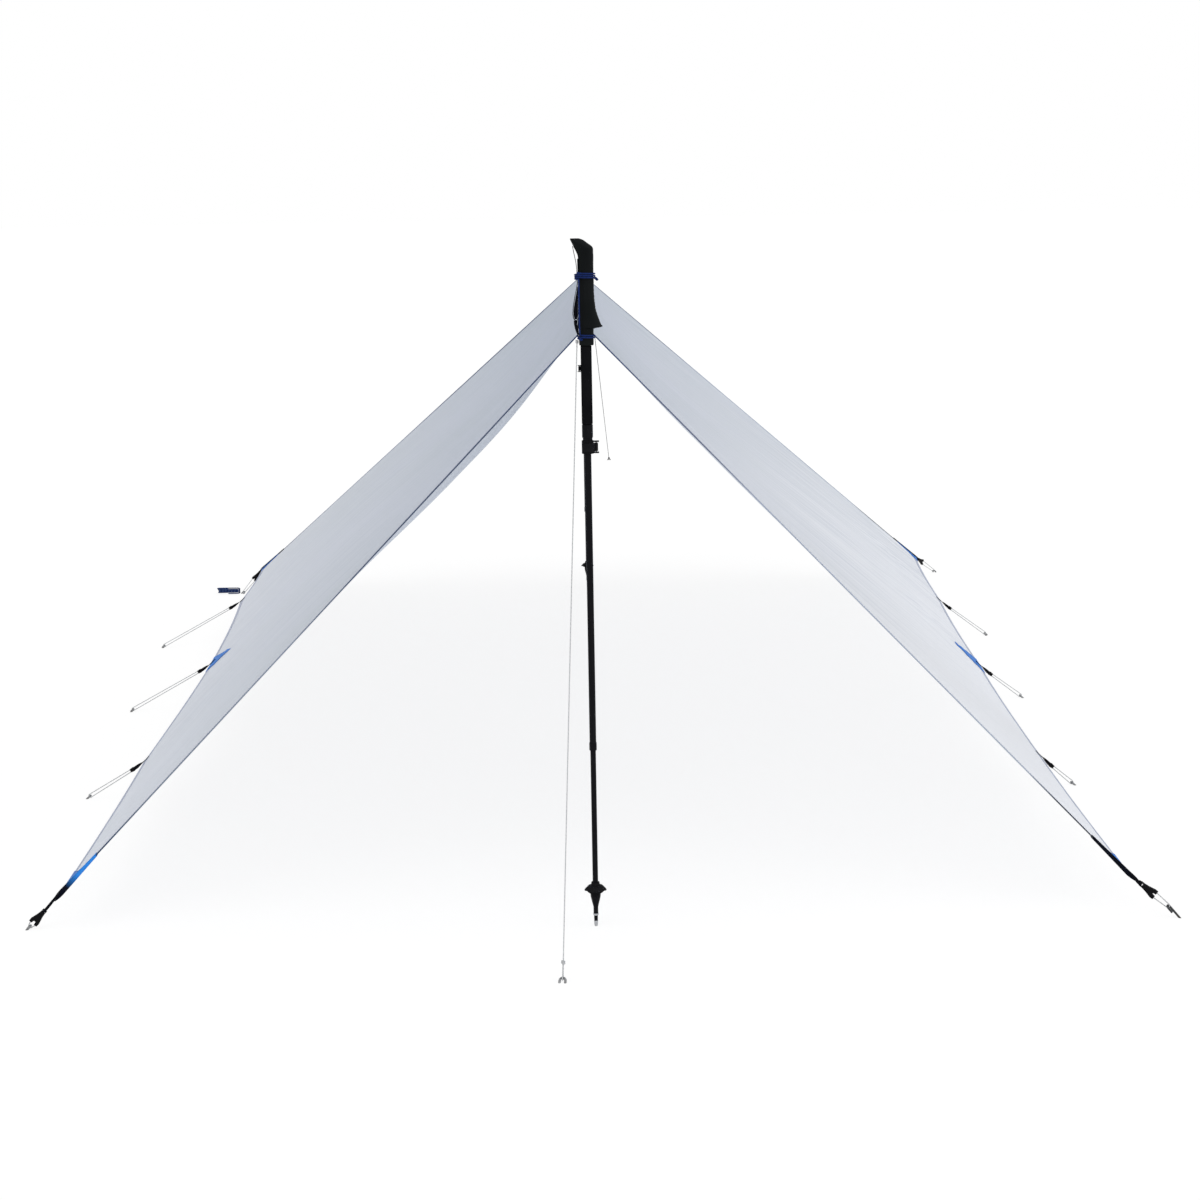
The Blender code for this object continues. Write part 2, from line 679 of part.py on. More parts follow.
def ridge_guy(name, start, ground):
    """A single line from a knot beside the handle to a loop round the stake's hook."""
    head = stake_head(start, ground, STAKE_HEAD_HEIGHT)
    pull = (head - start).normalized()
    knot = head - pull * RIDGE_LOOP_LENGTH
    beside = pull.cross(UP).normalized().cross(pull) * (CORD_RADIUS + STRAND_ROOM)
    path = [start, knot - beside, *bight(head, *stake_axes(start, ground)), knot + beside]
    guy = tube(name, path, CORD_RADIUS)
    for index, (centre, radius) in enumerate(((start, TIE_KNOT_RADIUS), (knot, LOOP_KNOT_RADIUS))):
        ends = [centre + pull * KNOT_HALF_LENGTH * part for part in (-1, -0.5, 0.5, 1)]
        combine(guy, tube(f"{name}_knot_{index}", ends, radius, (0.55, 1, 1, 0.55), helper=True), "UNION")
    return painted(guy, WHITE_CORD, 0.8)


# Poles


def handle_section(above_foot):
    """The handle's section at a height above its foot, in mm: centre x and half widths."""
    height = min(max(above_foot / MM, HANDLE_SECTIONS[0][0]), HANDLE_SECTIONS[-1][0])
    for low, high in zip(HANDLE_SECTIONS, HANDLE_SECTIONS[1:]):
        if height <= high[0]:
            part = (height - low[0]) / (high[0] - low[0])
            return [a + (b - a) * part for a, b in zip(low, high)][1:]


def handle_outline(above_foot, grow=0.0, count=HANDLE_SIDES):
    """The handle's outline at a height above its foot, grown outwards."""
    centre, half_x, half_y = [length * MM for length in handle_section(above_foot)]
    ring = []
    for index in range(count):
        turn = 2 * math.pi * index / count
        c, s = math.cos(turn), math.sin(turn)
        x = centre + (half_x + grow) * math.copysign(abs(c) ** 0.9, c)
        y = (half_y + grow) * math.copysign(abs(s) ** 0.9, s)
        ring.append(Vector((x, y, HANDLE_FOOT + above_foot)))
    return ring


def handle(name, matrix):
    """A moulded grip with a beaked head and a lip at its foot, bored for the upper tube."""
    grip = at(lofted(name, [handle_outline(section[0] * MM) for section in HANDLE_SECTIONS]), matrix)
    radius, top, foot = UPPER_TUBE_RADIUS + GAP, UPPER_TUBE_TOP + GAP, HANDLE_FOOT - 10 * MM
    bore = turned(name + "_bore", ((0, top), (radius, top), (radius, foot), (0, foot)), helper=True)
    return painted(smooth(combine(grip, at(bore, matrix), "DIFFERENCE")), BLACK, 0.6)


def strap_layer(above_foot, layer):
    """The middle of the strap's layer 0, on the grip, or 1, over it."""
    on_grip = min(point.x for point in handle_outline(above_foot)) - GAP - STRAP_THICKNESS / 2
    return on_grip - layer * STRAP_LAYER


def wrist_strap(name, matrix):
    """Webbing that leaves the head under its beak, lies folded down the grip and comes back."""
    fold = STRAP_DOWN[-1] * MM
    path = [(strap_layer(height * MM, 0), height) for height in STRAP_DOWN]
    path += [(strap_layer(fold, layer), height) for layer, height in STRAP_TURN]
    path += [(-out * MM, height) for out, height in STRAP_BULGE]
    path += [(strap_layer(height * MM, 1), height) for height in STRAP_UP]
    path += [(-out * MM, height) for out, height in STRAP_END]
    stations = [(Vector((x, 0, HANDLE_FOOT + height * MM)), Vector((0, 1, 0))) for x, height in path]
    return painted(at(ribbon(name, stations, STRAP_WIDTH, STRAP_THICKNESS), matrix), BLACK, 0.8)


def cord_turns(centre, turns, strap_room):
    """Points of turns round the handle that step down by the cord's pitch."""
    on_grip = GAP + BLUE_CORD_RADIUS + BLUE_CORD_ROOM
    count = turns * BLUE_CORD_TURN_POINTS
    points = []
    for index in range(count + 1):
        place = (BLUE_CORD_FIRST + index) % BLUE_CORD_TURN_POINTS
        height = centre + (0.5 - index / count) * turns * BLUE_CORD_PITCH
        point = handle_outline(height, on_grip, BLUE_CORD_TURN_POINTS)[place]
        leftwards = -1.2 * math.cos(2 * math.pi * place / BLUE_CORD_TURN_POINTS)
        point.x -= strap_room * max(0, min(1, leftwards))
        points.append(point)
    return points


def ridge_cord(name, matrix):
    """Blue cord wound on the handle's neck over the strap, then down to turns round its foot."""
    over_strap = 2 * STRAP_THICKNESS + 7 * GAP
    lip_clear = HANDLE_LIP_DEPTH + GAP + BLUE_CORD_RADIUS
    path = cord_turns(BAND_CENTRE, BAND_TURNS, over_strap)
    path += [Vector((-STRAND_LEFT, -lip_clear, HANDLE_FOOT + height)) for height in STRAND_SPAN]
    path += cord_turns(WRAP_CENTRE, WRAP_TURNS, 0)
    return painted(at(tube(name, path, BLUE_CORD_RADIUS, resolution=1), matrix), BLUE, 0.6)


def foam_grip(name, matrix):
    top, foot = HANDLE_FOOT - GAP, RING_TOP + GAP
    bore = UPPER_TUBE_RADIUS + GAP
    chamfer = 1.5 * MM
    profile = (
        (GRIP_RADIUS - chamfer, top), (GRIP_RADIUS, top - chamfer), (GRIP_RADIUS, foot + chamfer),
        (GRIP_RADIUS - chamfer, foot), (bore, foot), (bore, top),
    )
    return painted(at(turned(name, profile, hollow=True), matrix), BLACK, 0.9)


def upper_tube(name, matrix):
    """The upper tube with its ring and clamp. Two ears on the clamp carry the lever's pin."""
    profile = (
        (UPPER_TUBE_RADIUS, UPPER_TUBE_TOP), (UPPER_TUBE_RADIUS, RING_TOP), (GRIP_RADIUS, RING_TOP),
        (GRIP_RADIUS, RING_FOOT), (NECK_RADIUS, RING_FOOT), (NECK_RADIUS, CLAMP_TOP),
        (CLAMP_RADIUS, CLAMP_TOP), (CLAMP_RADIUS, CLAMP_FOOT),
        (UPPER_BORE, CLAMP_FOOT), (UPPER_BORE, UPPER_TUBE_TOP),
    )
    shaft = at(turned(name, profile, hollow=True), matrix)
    near, far = CLAMP_RADIUS - 2 * MM, LEVER_PIVOT + LEVER_BOSS + 1.5 * MM
    for index, foot in enumerate((CLAMP_FOOT, CLAMP_TOP - EAR_HEIGHT)):
        corners = ((near, -EAR_HALF, foot + EAR_MARGIN), (far, EAR_HALF, foot + EAR_HEIGHT - EAR_MARGIN))
        combine(shaft, at(block(f"{name}_ear_{index}", *corners, True), matrix), "UNION")
    heights = (CLAMP_FOOT + EAR_HEIGHT / 2, CLAMP_TOP - EAR_HEIGHT / 2)
    ends = [Vector((LEVER_PIVOT, 0, height)) for height in heights]
    combine(shaft, at(rod(name + "_pin", *ends, LEVER_PIN), matrix), "UNION")
    return painted(shaft, BLACK, 0.35, 0.3)


def lever(name, matrix):
    """A flat arc folded round the clamp. It turns on the pin between the clamp's ears."""
    inner = CLAMP_RADIUS + 2 * GAP
    outer = inner + LEVER_THICKNESS
    low, high = CLAMP_FOOT + EAR_HEIGHT + 2 * GAP, CLAMP_TOP - EAR_HEIGHT - 2 * GAP
    turns = [math.radians(-4 - LEVER_ARC * step / 10) for step in range(11)]
    outline = [(outer * math.cos(turn), outer * math.sin(turn)) for turn in turns]
    outline += [(inner * math.cos(turn), inner * math.sin(turn)) for turn in reversed(turns)]
    hinge = matrix @ Matrix.Translation((LEVER_PIVOT, 0, 0))
    rings = [[Vector((x - LEVER_PIVOT, y, height)) for x, y in outline] for height in (low, high)]
    arm = at(lofted(name, rings), hinge)
    inset, beyond = UP * 0.4 * MM, UP * 1 * MM
    boss = rod(name + "_boss", UP * low + inset, UP * high - inset, LEVER_BOSS, 16)
    combine(arm, at(boss, hinge), "UNION")
    hole = rod(name + "_hole", UP * low - beyond, UP * high + beyond, LEVER_PIN + GAP)
    combine(arm, at(hole, hinge), "DIFFERENCE")
    return painted(arm, BLACK, 0.4)


def middle_tube(name, matrix):
    profile = (
        (MIDDLE_RADIUS, MIDDLE_TOP), (MIDDLE_RADIUS, COLLAR_TOP), (COLLAR_RADIUS, COLLAR_TOP - 0.5 * MM),
        (COLLAR_RADIUS, COLLAR_FOOT), (MIDDLE_BORE, COLLAR_FOOT), (MIDDLE_BORE, MIDDLE_TOP),
    )
    return painted(at(turned(name, profile, hollow=True), matrix), BLACK, 0.3, 0.4)


def lower_tube(name, matrix):
    """The lower tube with the ferrule that stops the basket, a bright ring and the metal tip."""
    neck, ring, shaft, tip = [LOWER_RADIUS - inset * MM for inset in (0.6, 0.1, 1.3, 1.1)]
    cone_foot, ring_top, ring_foot, tip_top = [FERRULE_TOP * share for share in (0.588, 0.395, 0.342, 0.167)]
    profile = (
        (0, LOWER_TOP), (LOWER_RADIUS, LOWER_TOP), (LOWER_RADIUS, FERRULE_TOP),
        (FERRULE_RADIUS, FERRULE_TOP), (FERRULE_RADIUS - 0.6 * MM, FERRULE_TOP - 6 * MM),
        (neck, cone_foot), (neck, ring_top), (ring, ring_top), (ring, ring_foot), (shaft, ring_foot),
        (shaft - 0.2 * MM, tip_top), (tip, tip_top - 0.5 * MM), (tip - 0.2 * MM, tip_top / 2),
        (tip - 1.1 * MM, 0), (0, 0),
    )
    return painted(at(turned(name, profile), matrix), BLACK, 0.35, 0.3)


def basket(name, matrix):
    """An umbrella-shaped disc with drooping lobes and a hub that sits on the ferrule."""
    bore, foot, top = LOWER_RADIUS + GAP, FERRULE_TOP + GAP, BASKET_TOP
    hub, waist, brim = LOWER_RADIUS + 2.2 * MM, BASKET_RADIUS - 6.5 * MM, BASKET_RADIUS - LOBE_DEPTH
    section = (
        (bore, top, 0), (hub, top, 0), (hub + 0.8 * MM, top - 5 * MM, 0),
        (waist + 0.5 * MM, top - 6.6 * MM, 0.4), (brim, top - 12.0 * MM, 1),
        (brim - 0.2 * MM, top - 14.0 * MM, 1), (waist, top - 8.8 * MM, 0.4),
        (hub + 2.2 * MM, top - 9.4 * MM, 0), (hub + 1.6 * MM, foot, 0), (bore, foot, 0),
    )
    rings = []
    for radius, height, lobed in section:
        ring = []
        for index in range(TUBE_SIDES):
            turn = 2 * math.pi * index / TUBE_SIDES
            wave = lobed * math.cos(BASKET_LOBES * turn)
            reach = radius + LOBE_DEPTH * wave
            ring.append(Vector((reach * math.cos(turn), reach * math.sin(turn), height - LOBE_DROP * wave)))
        rings.append(ring)
    return painted(at(lofted(name, rings, closed=True), matrix), BLACK, 0.6)


def pole(label, foot, facing, drop, middle_in, lower_in):
    """One pole. drop lowers its upper section, and the other two tubes are pushed in by as much."""
    stand = Matrix.Translation((*foot, 0)) @ Matrix.Rotation(facing, 4, "Z")
    upper = stand @ Matrix.Translation((0, 0, -drop))
    middle = stand @ Matrix.Translation((0, 0, middle_in - drop))
    lower = stand @ Matrix.Translation((0, 0, middle_in + lower_in - drop))
    handle(f"handle_{label}", upper)
    wrist_strap(f"wrist_strap_{label}", upper)
    ridge_cord(f"ridge_cord_{label}", upper)
    foam_grip(f"foam_grip_{label}", upper)
    upper_tube(f"upper_tube_{label}", upper)
    lever(f"clamp_lever_{label}", upper)
    middle_tube(f"middle_tube_{label}", middle)
    lower_tube(f"lower_tube_{label}", lower)
    basket(f"basket_{label}", lower)


# Spare cord, wound in a hank and tied round its middle


def self_gap(points, radius, skip):
    """The least distance between parts of a cord that aren't neighbours on it."""
    least = 1.0
    dense = [a.lerp(b, part / 4) for a, b in zip(points, points[1:]) for part in range(4)]
    for i, first in enumerate(dense):
        for second in dense[i + 4 * skip:]:
            least = min(least, (first - second).length)
    return least - 2 * radius


def room_beside(path, start, end):
    """How far right a cord can be moved before it meets the straight piece from start to end."""
    shift = Vector()
    for _ in range(30):
        nearest = 1.0
        for point in path:
            foot, part = intersect_point_line(point + shift, start, end)
            foot = start.lerp(end, min(max(part, 0), 1))
            nearest = min(nearest, (point + shift - foot).length)
        shift.x += nearest - HANK_CORD_RADIUS - STAKE_RADIUS - GAP
    return shift


def hank(name, *stake_place):
    """Loops stacked on the ground, with their near end against the hook of a stake."""
    start, end = free_leg(*stake_place)
    half_stack = HANK_LOOPS / 2 * HANK_PITCH
    lowest = HANK_CORD_RADIUS + GAP
    centre = Vector((start.x - 2 * HANK_HALF_LENGTH, start.y, half_stack + lowest))
    path = []
    for index in range(HANK_LOOPS * HANK_LOOP_POINTS + 1):
        loops = index / HANK_LOOP_POINTS
        turn = 2 * math.pi * (loops - 0.25)
        far_end = (1 - math.cos(turn)) / 2
        half_length = HANK_HALF_LENGTH - HANK_FAN * far_end * (1 + math.sin(0.8 * turn))
        height = loops * HANK_PITCH - half_stack
        path.append(centre + Vector((half_length * math.cos(turn), HANK_HALF_WIDTH * math.sin(turn), height)))
    beside = room_beside(path, start, end)
    path = [point + beside for point in path]
    gap = self_gap(path, HANK_CORD_RADIUS, HANK_LOOP_POINTS // 3)
    length = sum((after - before).length for before, after in zip(path, path[1:]))
    print(f"{name}: cord {length:.3f} m, least gap to itself {gap / MM:.2f} mm")
    if gap < LEAST_SELF_GAP:
        raise ValueError(f"{name} comes {gap / MM:.2f} mm from itself")
    return painted(tube(name, path, HANK_CORD_RADIUS, resolution=1), NAVY, 0.7)


cloth_panel("canopy_left", -1)
cloth_panel("canopy_right", 1)
ridge_seam()
for side in (-1, 1):
    for index in range(len(TIE_NAMES)):
        tie(side, index)
rear_foot = (REAR_POLE_SHIFT, RIDGE_LENGTH)
pole("front", (0, 0), 0, 0, 0, 0)
pole("rear", rear_foot, math.pi, REAR_DROP, REAR_MIDDLE_IN, REAR_LOWER_IN)


def knot_places():
    """Where the two ridge guys are knotted: under the front handle's wrap and the rear one's band."""
    wrap_reach = WRAP_TURNS / 2 * BLUE_CORD_PITCH + BLUE_CORD_RADIUS + KNOT_HALF_LENGTH + GAP
    foot = handle_outline(HANDLE_SECTIONS[1][0] * MM)
    beside_foot = min(point.x for point in foot) - 2 * GAP - TIE_KNOT_RADIUS
    front = Vector((beside_foot, 0, HANDLE_FOOT + WRAP_CENTRE - wrap_reach))
    turns_down = BAND_TURNS / 2 - 1 / 7
    height = BAND_CENTRE - turns_down * BLUE_CORD_PITCH - BLUE_CORD_RADIUS - GAP - TIE_KNOT_RADIUS
    beside_strap = strap_layer(height, 1) - STRAP_THICKNESS / 2 - 1.5 * GAP - TIE_KNOT_RADIUS
    rear = Vector((REAR_POLE_SHIFT - beside_strap, RIDGE_LENGTH, HANDLE_FOOT + height - REAR_DROP))
    return front, rear


front_knot, rear_knot = knot_places()
ridge_guy("guy_ridge_front", front_knot, FRONT_RIDGE_STAKE)
ridge_guy("guy_ridge_rear", rear_knot, REAR_RIDGE_STAKE)
stake("stake_ridge_front", front_knot, FRONT_RIDGE_STAKE, STAKE_HEAD_HEIGHT)
stake("stake_ridge_rear", rear_knot, REAR_RIDGE_STAKE, STAKE_HEAD_HEIGHT)
hank("spare_cord_hank", hem_tie(-1, 4), STAKES_LEFT[4], STAKE_HEAD_HEIGHT)
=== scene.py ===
# %% [markdown]
# A ridge tarp pitched on two walking poles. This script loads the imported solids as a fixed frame
# and builds what is seen over them: cloth, binding, webbing, cords, grips and metal. The camera
# comes first, because the cords are measured against what it sees. Its place and turn were worked
# out from where the pole's foot, the handle and the four corners lie in the photograph.

import math

import bmesh
import bpy
from mathutils import Matrix, Vector


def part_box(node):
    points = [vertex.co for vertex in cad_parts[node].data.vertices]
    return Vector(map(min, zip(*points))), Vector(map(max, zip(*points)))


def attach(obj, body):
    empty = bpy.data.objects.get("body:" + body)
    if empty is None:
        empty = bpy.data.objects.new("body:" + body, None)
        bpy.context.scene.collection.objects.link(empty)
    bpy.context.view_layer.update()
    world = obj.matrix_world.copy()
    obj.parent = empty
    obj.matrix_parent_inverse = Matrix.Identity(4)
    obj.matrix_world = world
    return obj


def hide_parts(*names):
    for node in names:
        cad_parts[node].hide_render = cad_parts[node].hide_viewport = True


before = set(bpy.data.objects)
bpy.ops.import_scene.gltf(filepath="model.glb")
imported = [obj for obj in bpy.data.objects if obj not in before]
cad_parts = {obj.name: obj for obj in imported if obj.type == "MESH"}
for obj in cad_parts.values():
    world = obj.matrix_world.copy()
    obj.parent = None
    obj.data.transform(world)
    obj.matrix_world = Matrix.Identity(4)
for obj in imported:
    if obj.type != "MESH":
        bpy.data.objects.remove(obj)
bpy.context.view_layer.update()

MM = 0.001
GAP = 0.3 * MM
UP = Vector((0, 0, 1))

CAMERA_PLACE = (-0.0013, -3.5982, 1.2754)
CAMERA_PITCH = math.radians(11.2876)
CAMERA_ROLL = math.radians(-0.961)
CAMERA_YAW = math.radians(0.2685)
CAMERA_LENS = 67.55
SENSOR_WIDTH = 36
CAMERA_SEES = (0.05, 80)


def in_scene(name, data):
    """A new object, straight in the scene."""
    obj = bpy.data.objects.new(name, data)
    bpy.context.scene.collection.objects.link(obj)
    return obj


def make_camera():
    """A camera at the measured place, turned by its yaw, pitch and roll."""
    forward = Vector((
        math.sin(CAMERA_YAW) * math.cos(CAMERA_PITCH),
        math.cos(CAMERA_YAW) * math.cos(CAMERA_PITCH),
        -math.sin(CAMERA_PITCH),
    ))
    level = Vector((math.cos(CAMERA_YAW), -math.sin(CAMERA_YAW), 0))
    upright = level.cross(forward)
    right = level * math.cos(CAMERA_ROLL) + upright * math.sin(CAMERA_ROLL)
    top = upright * math.cos(CAMERA_ROLL) - level * math.sin(CAMERA_ROLL)
    data = bpy.data.cameras.new("camera")
    data.lens, data.sensor_width = CAMERA_LENS, SENSOR_WIDTH
    data.clip_start, data.clip_end = CAMERA_SEES
    camera = in_scene("camera", data)
    turn = Matrix((right, top, -forward)).transposed().to_4x4()
    camera.matrix_world = Matrix.Translation(CAMERA_PLACE) @ turn
    bpy.context.scene.camera = camera


make_camera()

# %% [markdown]
# Materials are written as sums of textures. A small class wraps the output of a shader node, so
# that values can be added and multiplied like numbers. Every recipe reads Object coordinates or
# the piece's own UV map, so nothing slides when a pole is pushed together. One method makes every
# other node, which keeps each recipe down to the lines that say what the finish is.

# %% Shader helpers


def maths(operation, reverse=False):
    """A method that makes one Math node, with the value itself first or, in reverse, last."""
    def method(self, *others):
        items = (*others, self) if reverse else (self, *others)
        return self.recipe.node("Math", {"operation": operation}, dict(enumerate(items)))
    return method


class Value:
    """One output of a shader node, with arithmetic."""

    def __init__(self, recipe, socket):
        self.recipe, self.socket = recipe, socket

    __add__ = __radd__ = maths("ADD")
    __sub__, __rsub__ = maths("SUBTRACT"), maths("SUBTRACT", reverse=True)
    __mul__ = __rmul__ = maths("MULTIPLY")
    __pow__, __abs__ = maths("POWER"), maths("ABSOLUTE")
    __gt__, __lt__ = maths("GREATER_THAN"), maths("LESS_THAN")
    least, most = maths("MINIMUM"), maths("MAXIMUM")
    sine = maths("SINE")


class Recipe:
    """A material whose nodes are all made by one method."""

    def __init__(self, name, **constants):
        self.material = bpy.data.materials.new(name)
        self.material.use_nodes = True
        self.tree = self.material.node_tree
        self.shader = self.tree.nodes["Principled BSDF"]
        self.set(**constants)

    def feed(self, slot, item):
        if isinstance(item, Value):
            self.tree.links.new(item.socket, slot)
        elif isinstance(item, tuple) and len(item) == 3 and slot.type == "RGBA":
            slot.default_value = (*item, 1)
        else:
            slot.default_value = item

    def node(self, kind, settings=None, inputs=None, output=0, stops=()):
        node = self.tree.nodes.new("ShaderNode" + kind)
        for key, item in (settings or {}).items():
            setattr(node, key, item)
        if stops:
            elements = node.color_ramp.elements
            while len(elements) < len(stops):
                elements.new(1.0)
            for element, (position, colour) in zip(elements, stops):
                element.position, element.color = position, (*colour, 1)
        for key, item in (inputs or {}).items():
            self.feed(node.inputs[key], item)
        return Value(self, node.outputs[output])

    def place(self):
        return self.node("TexCoord", output="Object")

    def lengths(self):
        """The piece's own map: metres along it, and the share of the way round or across it."""
        return self.split(self.node("TexCoord", output="UV"))

    def split(self, vector):
        first = self.node("SeparateXYZ", inputs={0: vector})
        return [Value(self, socket) for socket in first.socket.node.outputs]

    def noise(self, scale, detail=3.0, vector=None):
        vector = vector or self.place()
        return self.node("TexNoise", inputs={"Vector": vector, "Scale": scale, "Detail": detail})

    def ramp(self, factor, *stops):
        return self.node("ValToRGB", inputs={0: factor}, stops=stops)

    def between(self, factor, low, high):
        """Two colours mixed by a factor."""
        return self.node("Mix", {"data_type": "RGBA"}, {0: factor, 6: low, 7: high}, output=2)

    def bump(self, height, distance, strength=1.0):
        return self.node("Bump", inputs={"Height": height, "Distance": distance, "Strength": strength})

    def set(self, **inputs):
        for key, item in inputs.items():
            self.feed(self.shader.inputs[key.replace("_", " ")], item)
        return self.material

    def blend(self, share, other):
        """Mixes the piece's own shader with another one."""
        own = Value(self, self.shader.outputs[0])
        mixed = self.node("MixShader", inputs={0: share, 1: own, 2: other})
        self.feed(self.tree.nodes["Material Output"].inputs["Surface"], mixed)
        return self.material


def paint(obj, material):
    obj.data.materials.clear()
    obj.data.materials.append(material)
    return obj


print("shader helpers are ready")

# %% [markdown]
# Four kinds of shape make nearly everything here: a sheet over a grid, a skin over rings, a round
# cord along a path and a flat ribbon through stations. All of them write a UV map with metres
# along the piece, so a braid or a weave keeps its true pitch on every one.

# %% Shape helpers
pieces = bpy.data.collections.new("pieces")
bpy.context.scene.collection.children.link(pieces)


def mesh_piece(name, points, faces, uv):
    """A smooth mesh with a UV map, given as one place for each corner of each face."""
    mesh = bpy.data.meshes.new(name)
    mesh.from_pydata([tuple(point) for point in points], [], faces)
    layer = mesh.uv_layers.new(name="lengths")
    for face, corners in zip(mesh.polygons, uv):
        face.use_smooth = True
        for loop, corner in zip(face.loop_indices, corners):
            layer.data[loop].uv = corner
    obj = bpy.data.objects.new(name, mesh)
    pieces.objects.link(obj)
    return obj


def grid_piece(name, rows, columns, spot_of):
    """A sheet over a grid. A function gives each point with its place on the UV map."""
    spots = [spot_of(row, column) for row in range(rows + 1) for column in range(columns + 1)]
    width = columns + 1
    faces = []
    for row in range(rows):
        for corner in range(row * width, row * width + columns):
            faces.append((corner, corner + 1, corner + width + 1, corner + width))
    uv = [[spots[corner][1] for corner in face] for face in faces]
    return mesh_piece(name, [point for point, _ in spots], faces, uv)


def turn_outward(obj):
    shape = bmesh.new()
    shape.from_mesh(obj.data)
    bmesh.ops.recalc_face_normals(shape, faces=shape.faces)
    shape.to_mesh(obj.data)
    shape.free()
    return obj


def skin(name, rings):
    """A skin over rings of equally many points, capped at both ends."""
    sides, rows = len(rings[0]), len(rings)
    marks = [0.0]
    for before, after in zip(rings, rings[1:]):
        marks.append(marks[-1] + (after[0] - before[0]).length)
    faces, uv = [], []
    for row in range(rows - 1):
        here, there = row * sides, (row + 1) * sides
        start, end = marks[row], marks[row + 1]
        for side in range(sides):
            after = (side + 1) % sides
            faces.append((here + side, here + after, there + after, there + side))
            left, right = side / sides, (side + 1) / sides
            uv.append(((start, left), (start, right), (end, right), (end, left)))
    for row in (0, rows - 1):
        faces.append(tuple(row * sides + side for side in range(sides)))
        uv.append([(marks[row], side / sides) for side in range(sides)])
    return turn_outward(mesh_piece(name, [point for ring in rings for point in ring], faces, uv))


def side_frames(points):
    """A steady pair of side directions at each point of a path."""
    last = len(points) - 1
    side = (points[1] - points[0]).orthogonal().normalized()
    frames = []
    for index in range(len(points)):
        ahead = (points[min(index + 1, last)] - points[max(index - 1, 0)]).normalized()
        side = (side - ahead * side.dot(ahead)).normalized()
        frames.append((side, ahead.cross(side)))
    return frames


def within(low, high, share):
    """The number at a share of the way from one number to another."""
    return low + (high - low) * share


def around(count):
    """Equal turns round a circle."""
    return [2 * math.pi * step / count for step in range(count)]


def rounded(turn, power):
    """Across and up at a turn of a unit outline, which is squarer the lower the power."""
    across, up = math.cos(turn), math.sin(turn)
    return math.copysign(abs(across) ** power, across), math.copysign(abs(up) ** power, up)


def cord_piece(name, points, radius, sides=12):
    circle = [(math.cos(turn) * radius, math.sin(turn) * radius) for turn in around(sides)]
    rings = []
    for point, (first, second) in zip(points, side_frames(points)):
        rings.append([point + first * across + second * up for across, up in circle])
    return skin(name, rings)


def ribbon_piece(name, stations, width, thickness):
    """Webbing with rounded edges through stations of (point, sideways direction)."""
    flat, edge = width / 2 - thickness / 3, thickness / 2
    section = (
        (flat, edge), (0, edge), (-flat, edge), (-width / 2, edge / 3), (-width / 2, -edge / 3),
        (-flat, -edge), (0, -edge), (flat, -edge), (width / 2, -edge / 3), (width / 2, edge / 3),
    )
    rings, last = [], len(stations) - 1
    for index, (point, sideways) in enumerate(stations):
        ahead = (stations[min(index + 1, last)][0] - stations[max(index - 1, 0)][0]).normalized()
        normal = ahead.cross(sideways).normalized()
        side = normal.cross(ahead)
        rings.append([point + side * across + normal * up for across, up in section])
    return skin(name, rings)


def length_of(points):
    return sum((after - before).length for before, after in zip(points, points[1:]))


def evenly(points, step):
    """The same line with points no further apart than a step."""
    dense = []
    for before, after in zip(points, points[1:]):
        count = max(1, math.ceil((after - before).length / step))
        dense += [before.lerp(after, part / count) for part in range(count)]
    return dense + [points[-1]]


def eased(values, per):
    """A smooth curve through values, with so many steps between two of them."""
    smooth, last = [], len(values) - 1
    for index in range(last):
        a, b = values[max(index - 1, 0)], values[index]
        c, d = values[index + 1], values[min(index + 2, last)]
        for step in range(per):
            t = step / per
            square = (a * 2 - b * 5 + c * 4 - d) * t ** 2
            cube = (b * 3 - a - c * 3 + d) * t ** 3
            smooth.append((b * 2 + (c - a) * t + square + cube) * 0.5)
    return smooth + [values[-1]]


def finished(obj, material, slot, *nodes):
    """Paints a piece, fixes it to the tarp and hides the solids that it stands for."""
    paint(obj, material)
    if nodes:
        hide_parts(*nodes)
    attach(obj, "tarp")
    return obj


print("shape helpers are ready")

# %% [markdown]
# The pitch is described by a few numbers: the ridge's length and heights, the places where the
# hem is tied and the places where the stakes enter the ground. The same formulas made the solids,
# which is why the visible cloth and cords lie where the colliding ones do.

# %% Numbers of the pitch
RIDGE_LENGTH = 3.0
FRONT_RIDGE_HEIGHT = 1.0
REAR_RIDGE_HEIGHT = 0.923
RIDGE_SAG = 12 * MM
RIDGE_END = 14.3 * MM
REAR_POLE_SHIFT = -6 * MM
REAR_DROP = 0.158
SLOPE = 1.3
HEM_TIES = {
    -1: (
        (0.9006, 0.0316, 0.0637), (0.9070, 0.8000, 0.0790), (0.8970, 1.5800, 0.1020),
        (0.9350, 2.3100, 0.1070), (0.9771, 3.0300, 0.0658),
    ),
    1: (
        (0.9006, 0.0316, 0.0637), (0.9030, 0.7800, 0.0620), (0.9110, 1.5300, 0.0760),
        (0.9350, 2.2800, 0.0810), (0.9771, 3.0300, 0.0658),
    ),
}
STAKES = {
    -1: ((-0.962, 0.031), (-1.030, 0.820), (-1.083, 1.547), (-1.136, 2.246), (-1.030, 2.980)),
    1: ((0.977, -0.014), (0.972, 0.799), (1.010, 1.538), (1.050, 2.226), (1.046, 3.136)),
}
TIE_NAMES = ("front", "side_1", "side_2", "side_3", "rear")
SIDE_NAMES = {-1: "left", 1: "right"}
CORNERS = (0, 4)
MIDDLE_TIE = 2
TIES = [(side, index) for side in SIDE_NAMES for index in range(len(TIE_NAMES))]
CORNER_TIES = [tie for tie in TIES if tie[1] in CORNERS]
BAYS = len(TIE_NAMES) - 1
HEM_SCALLOP = 12 * MM
SAG = {-1: 44 * MM, 1: 21 * MM}
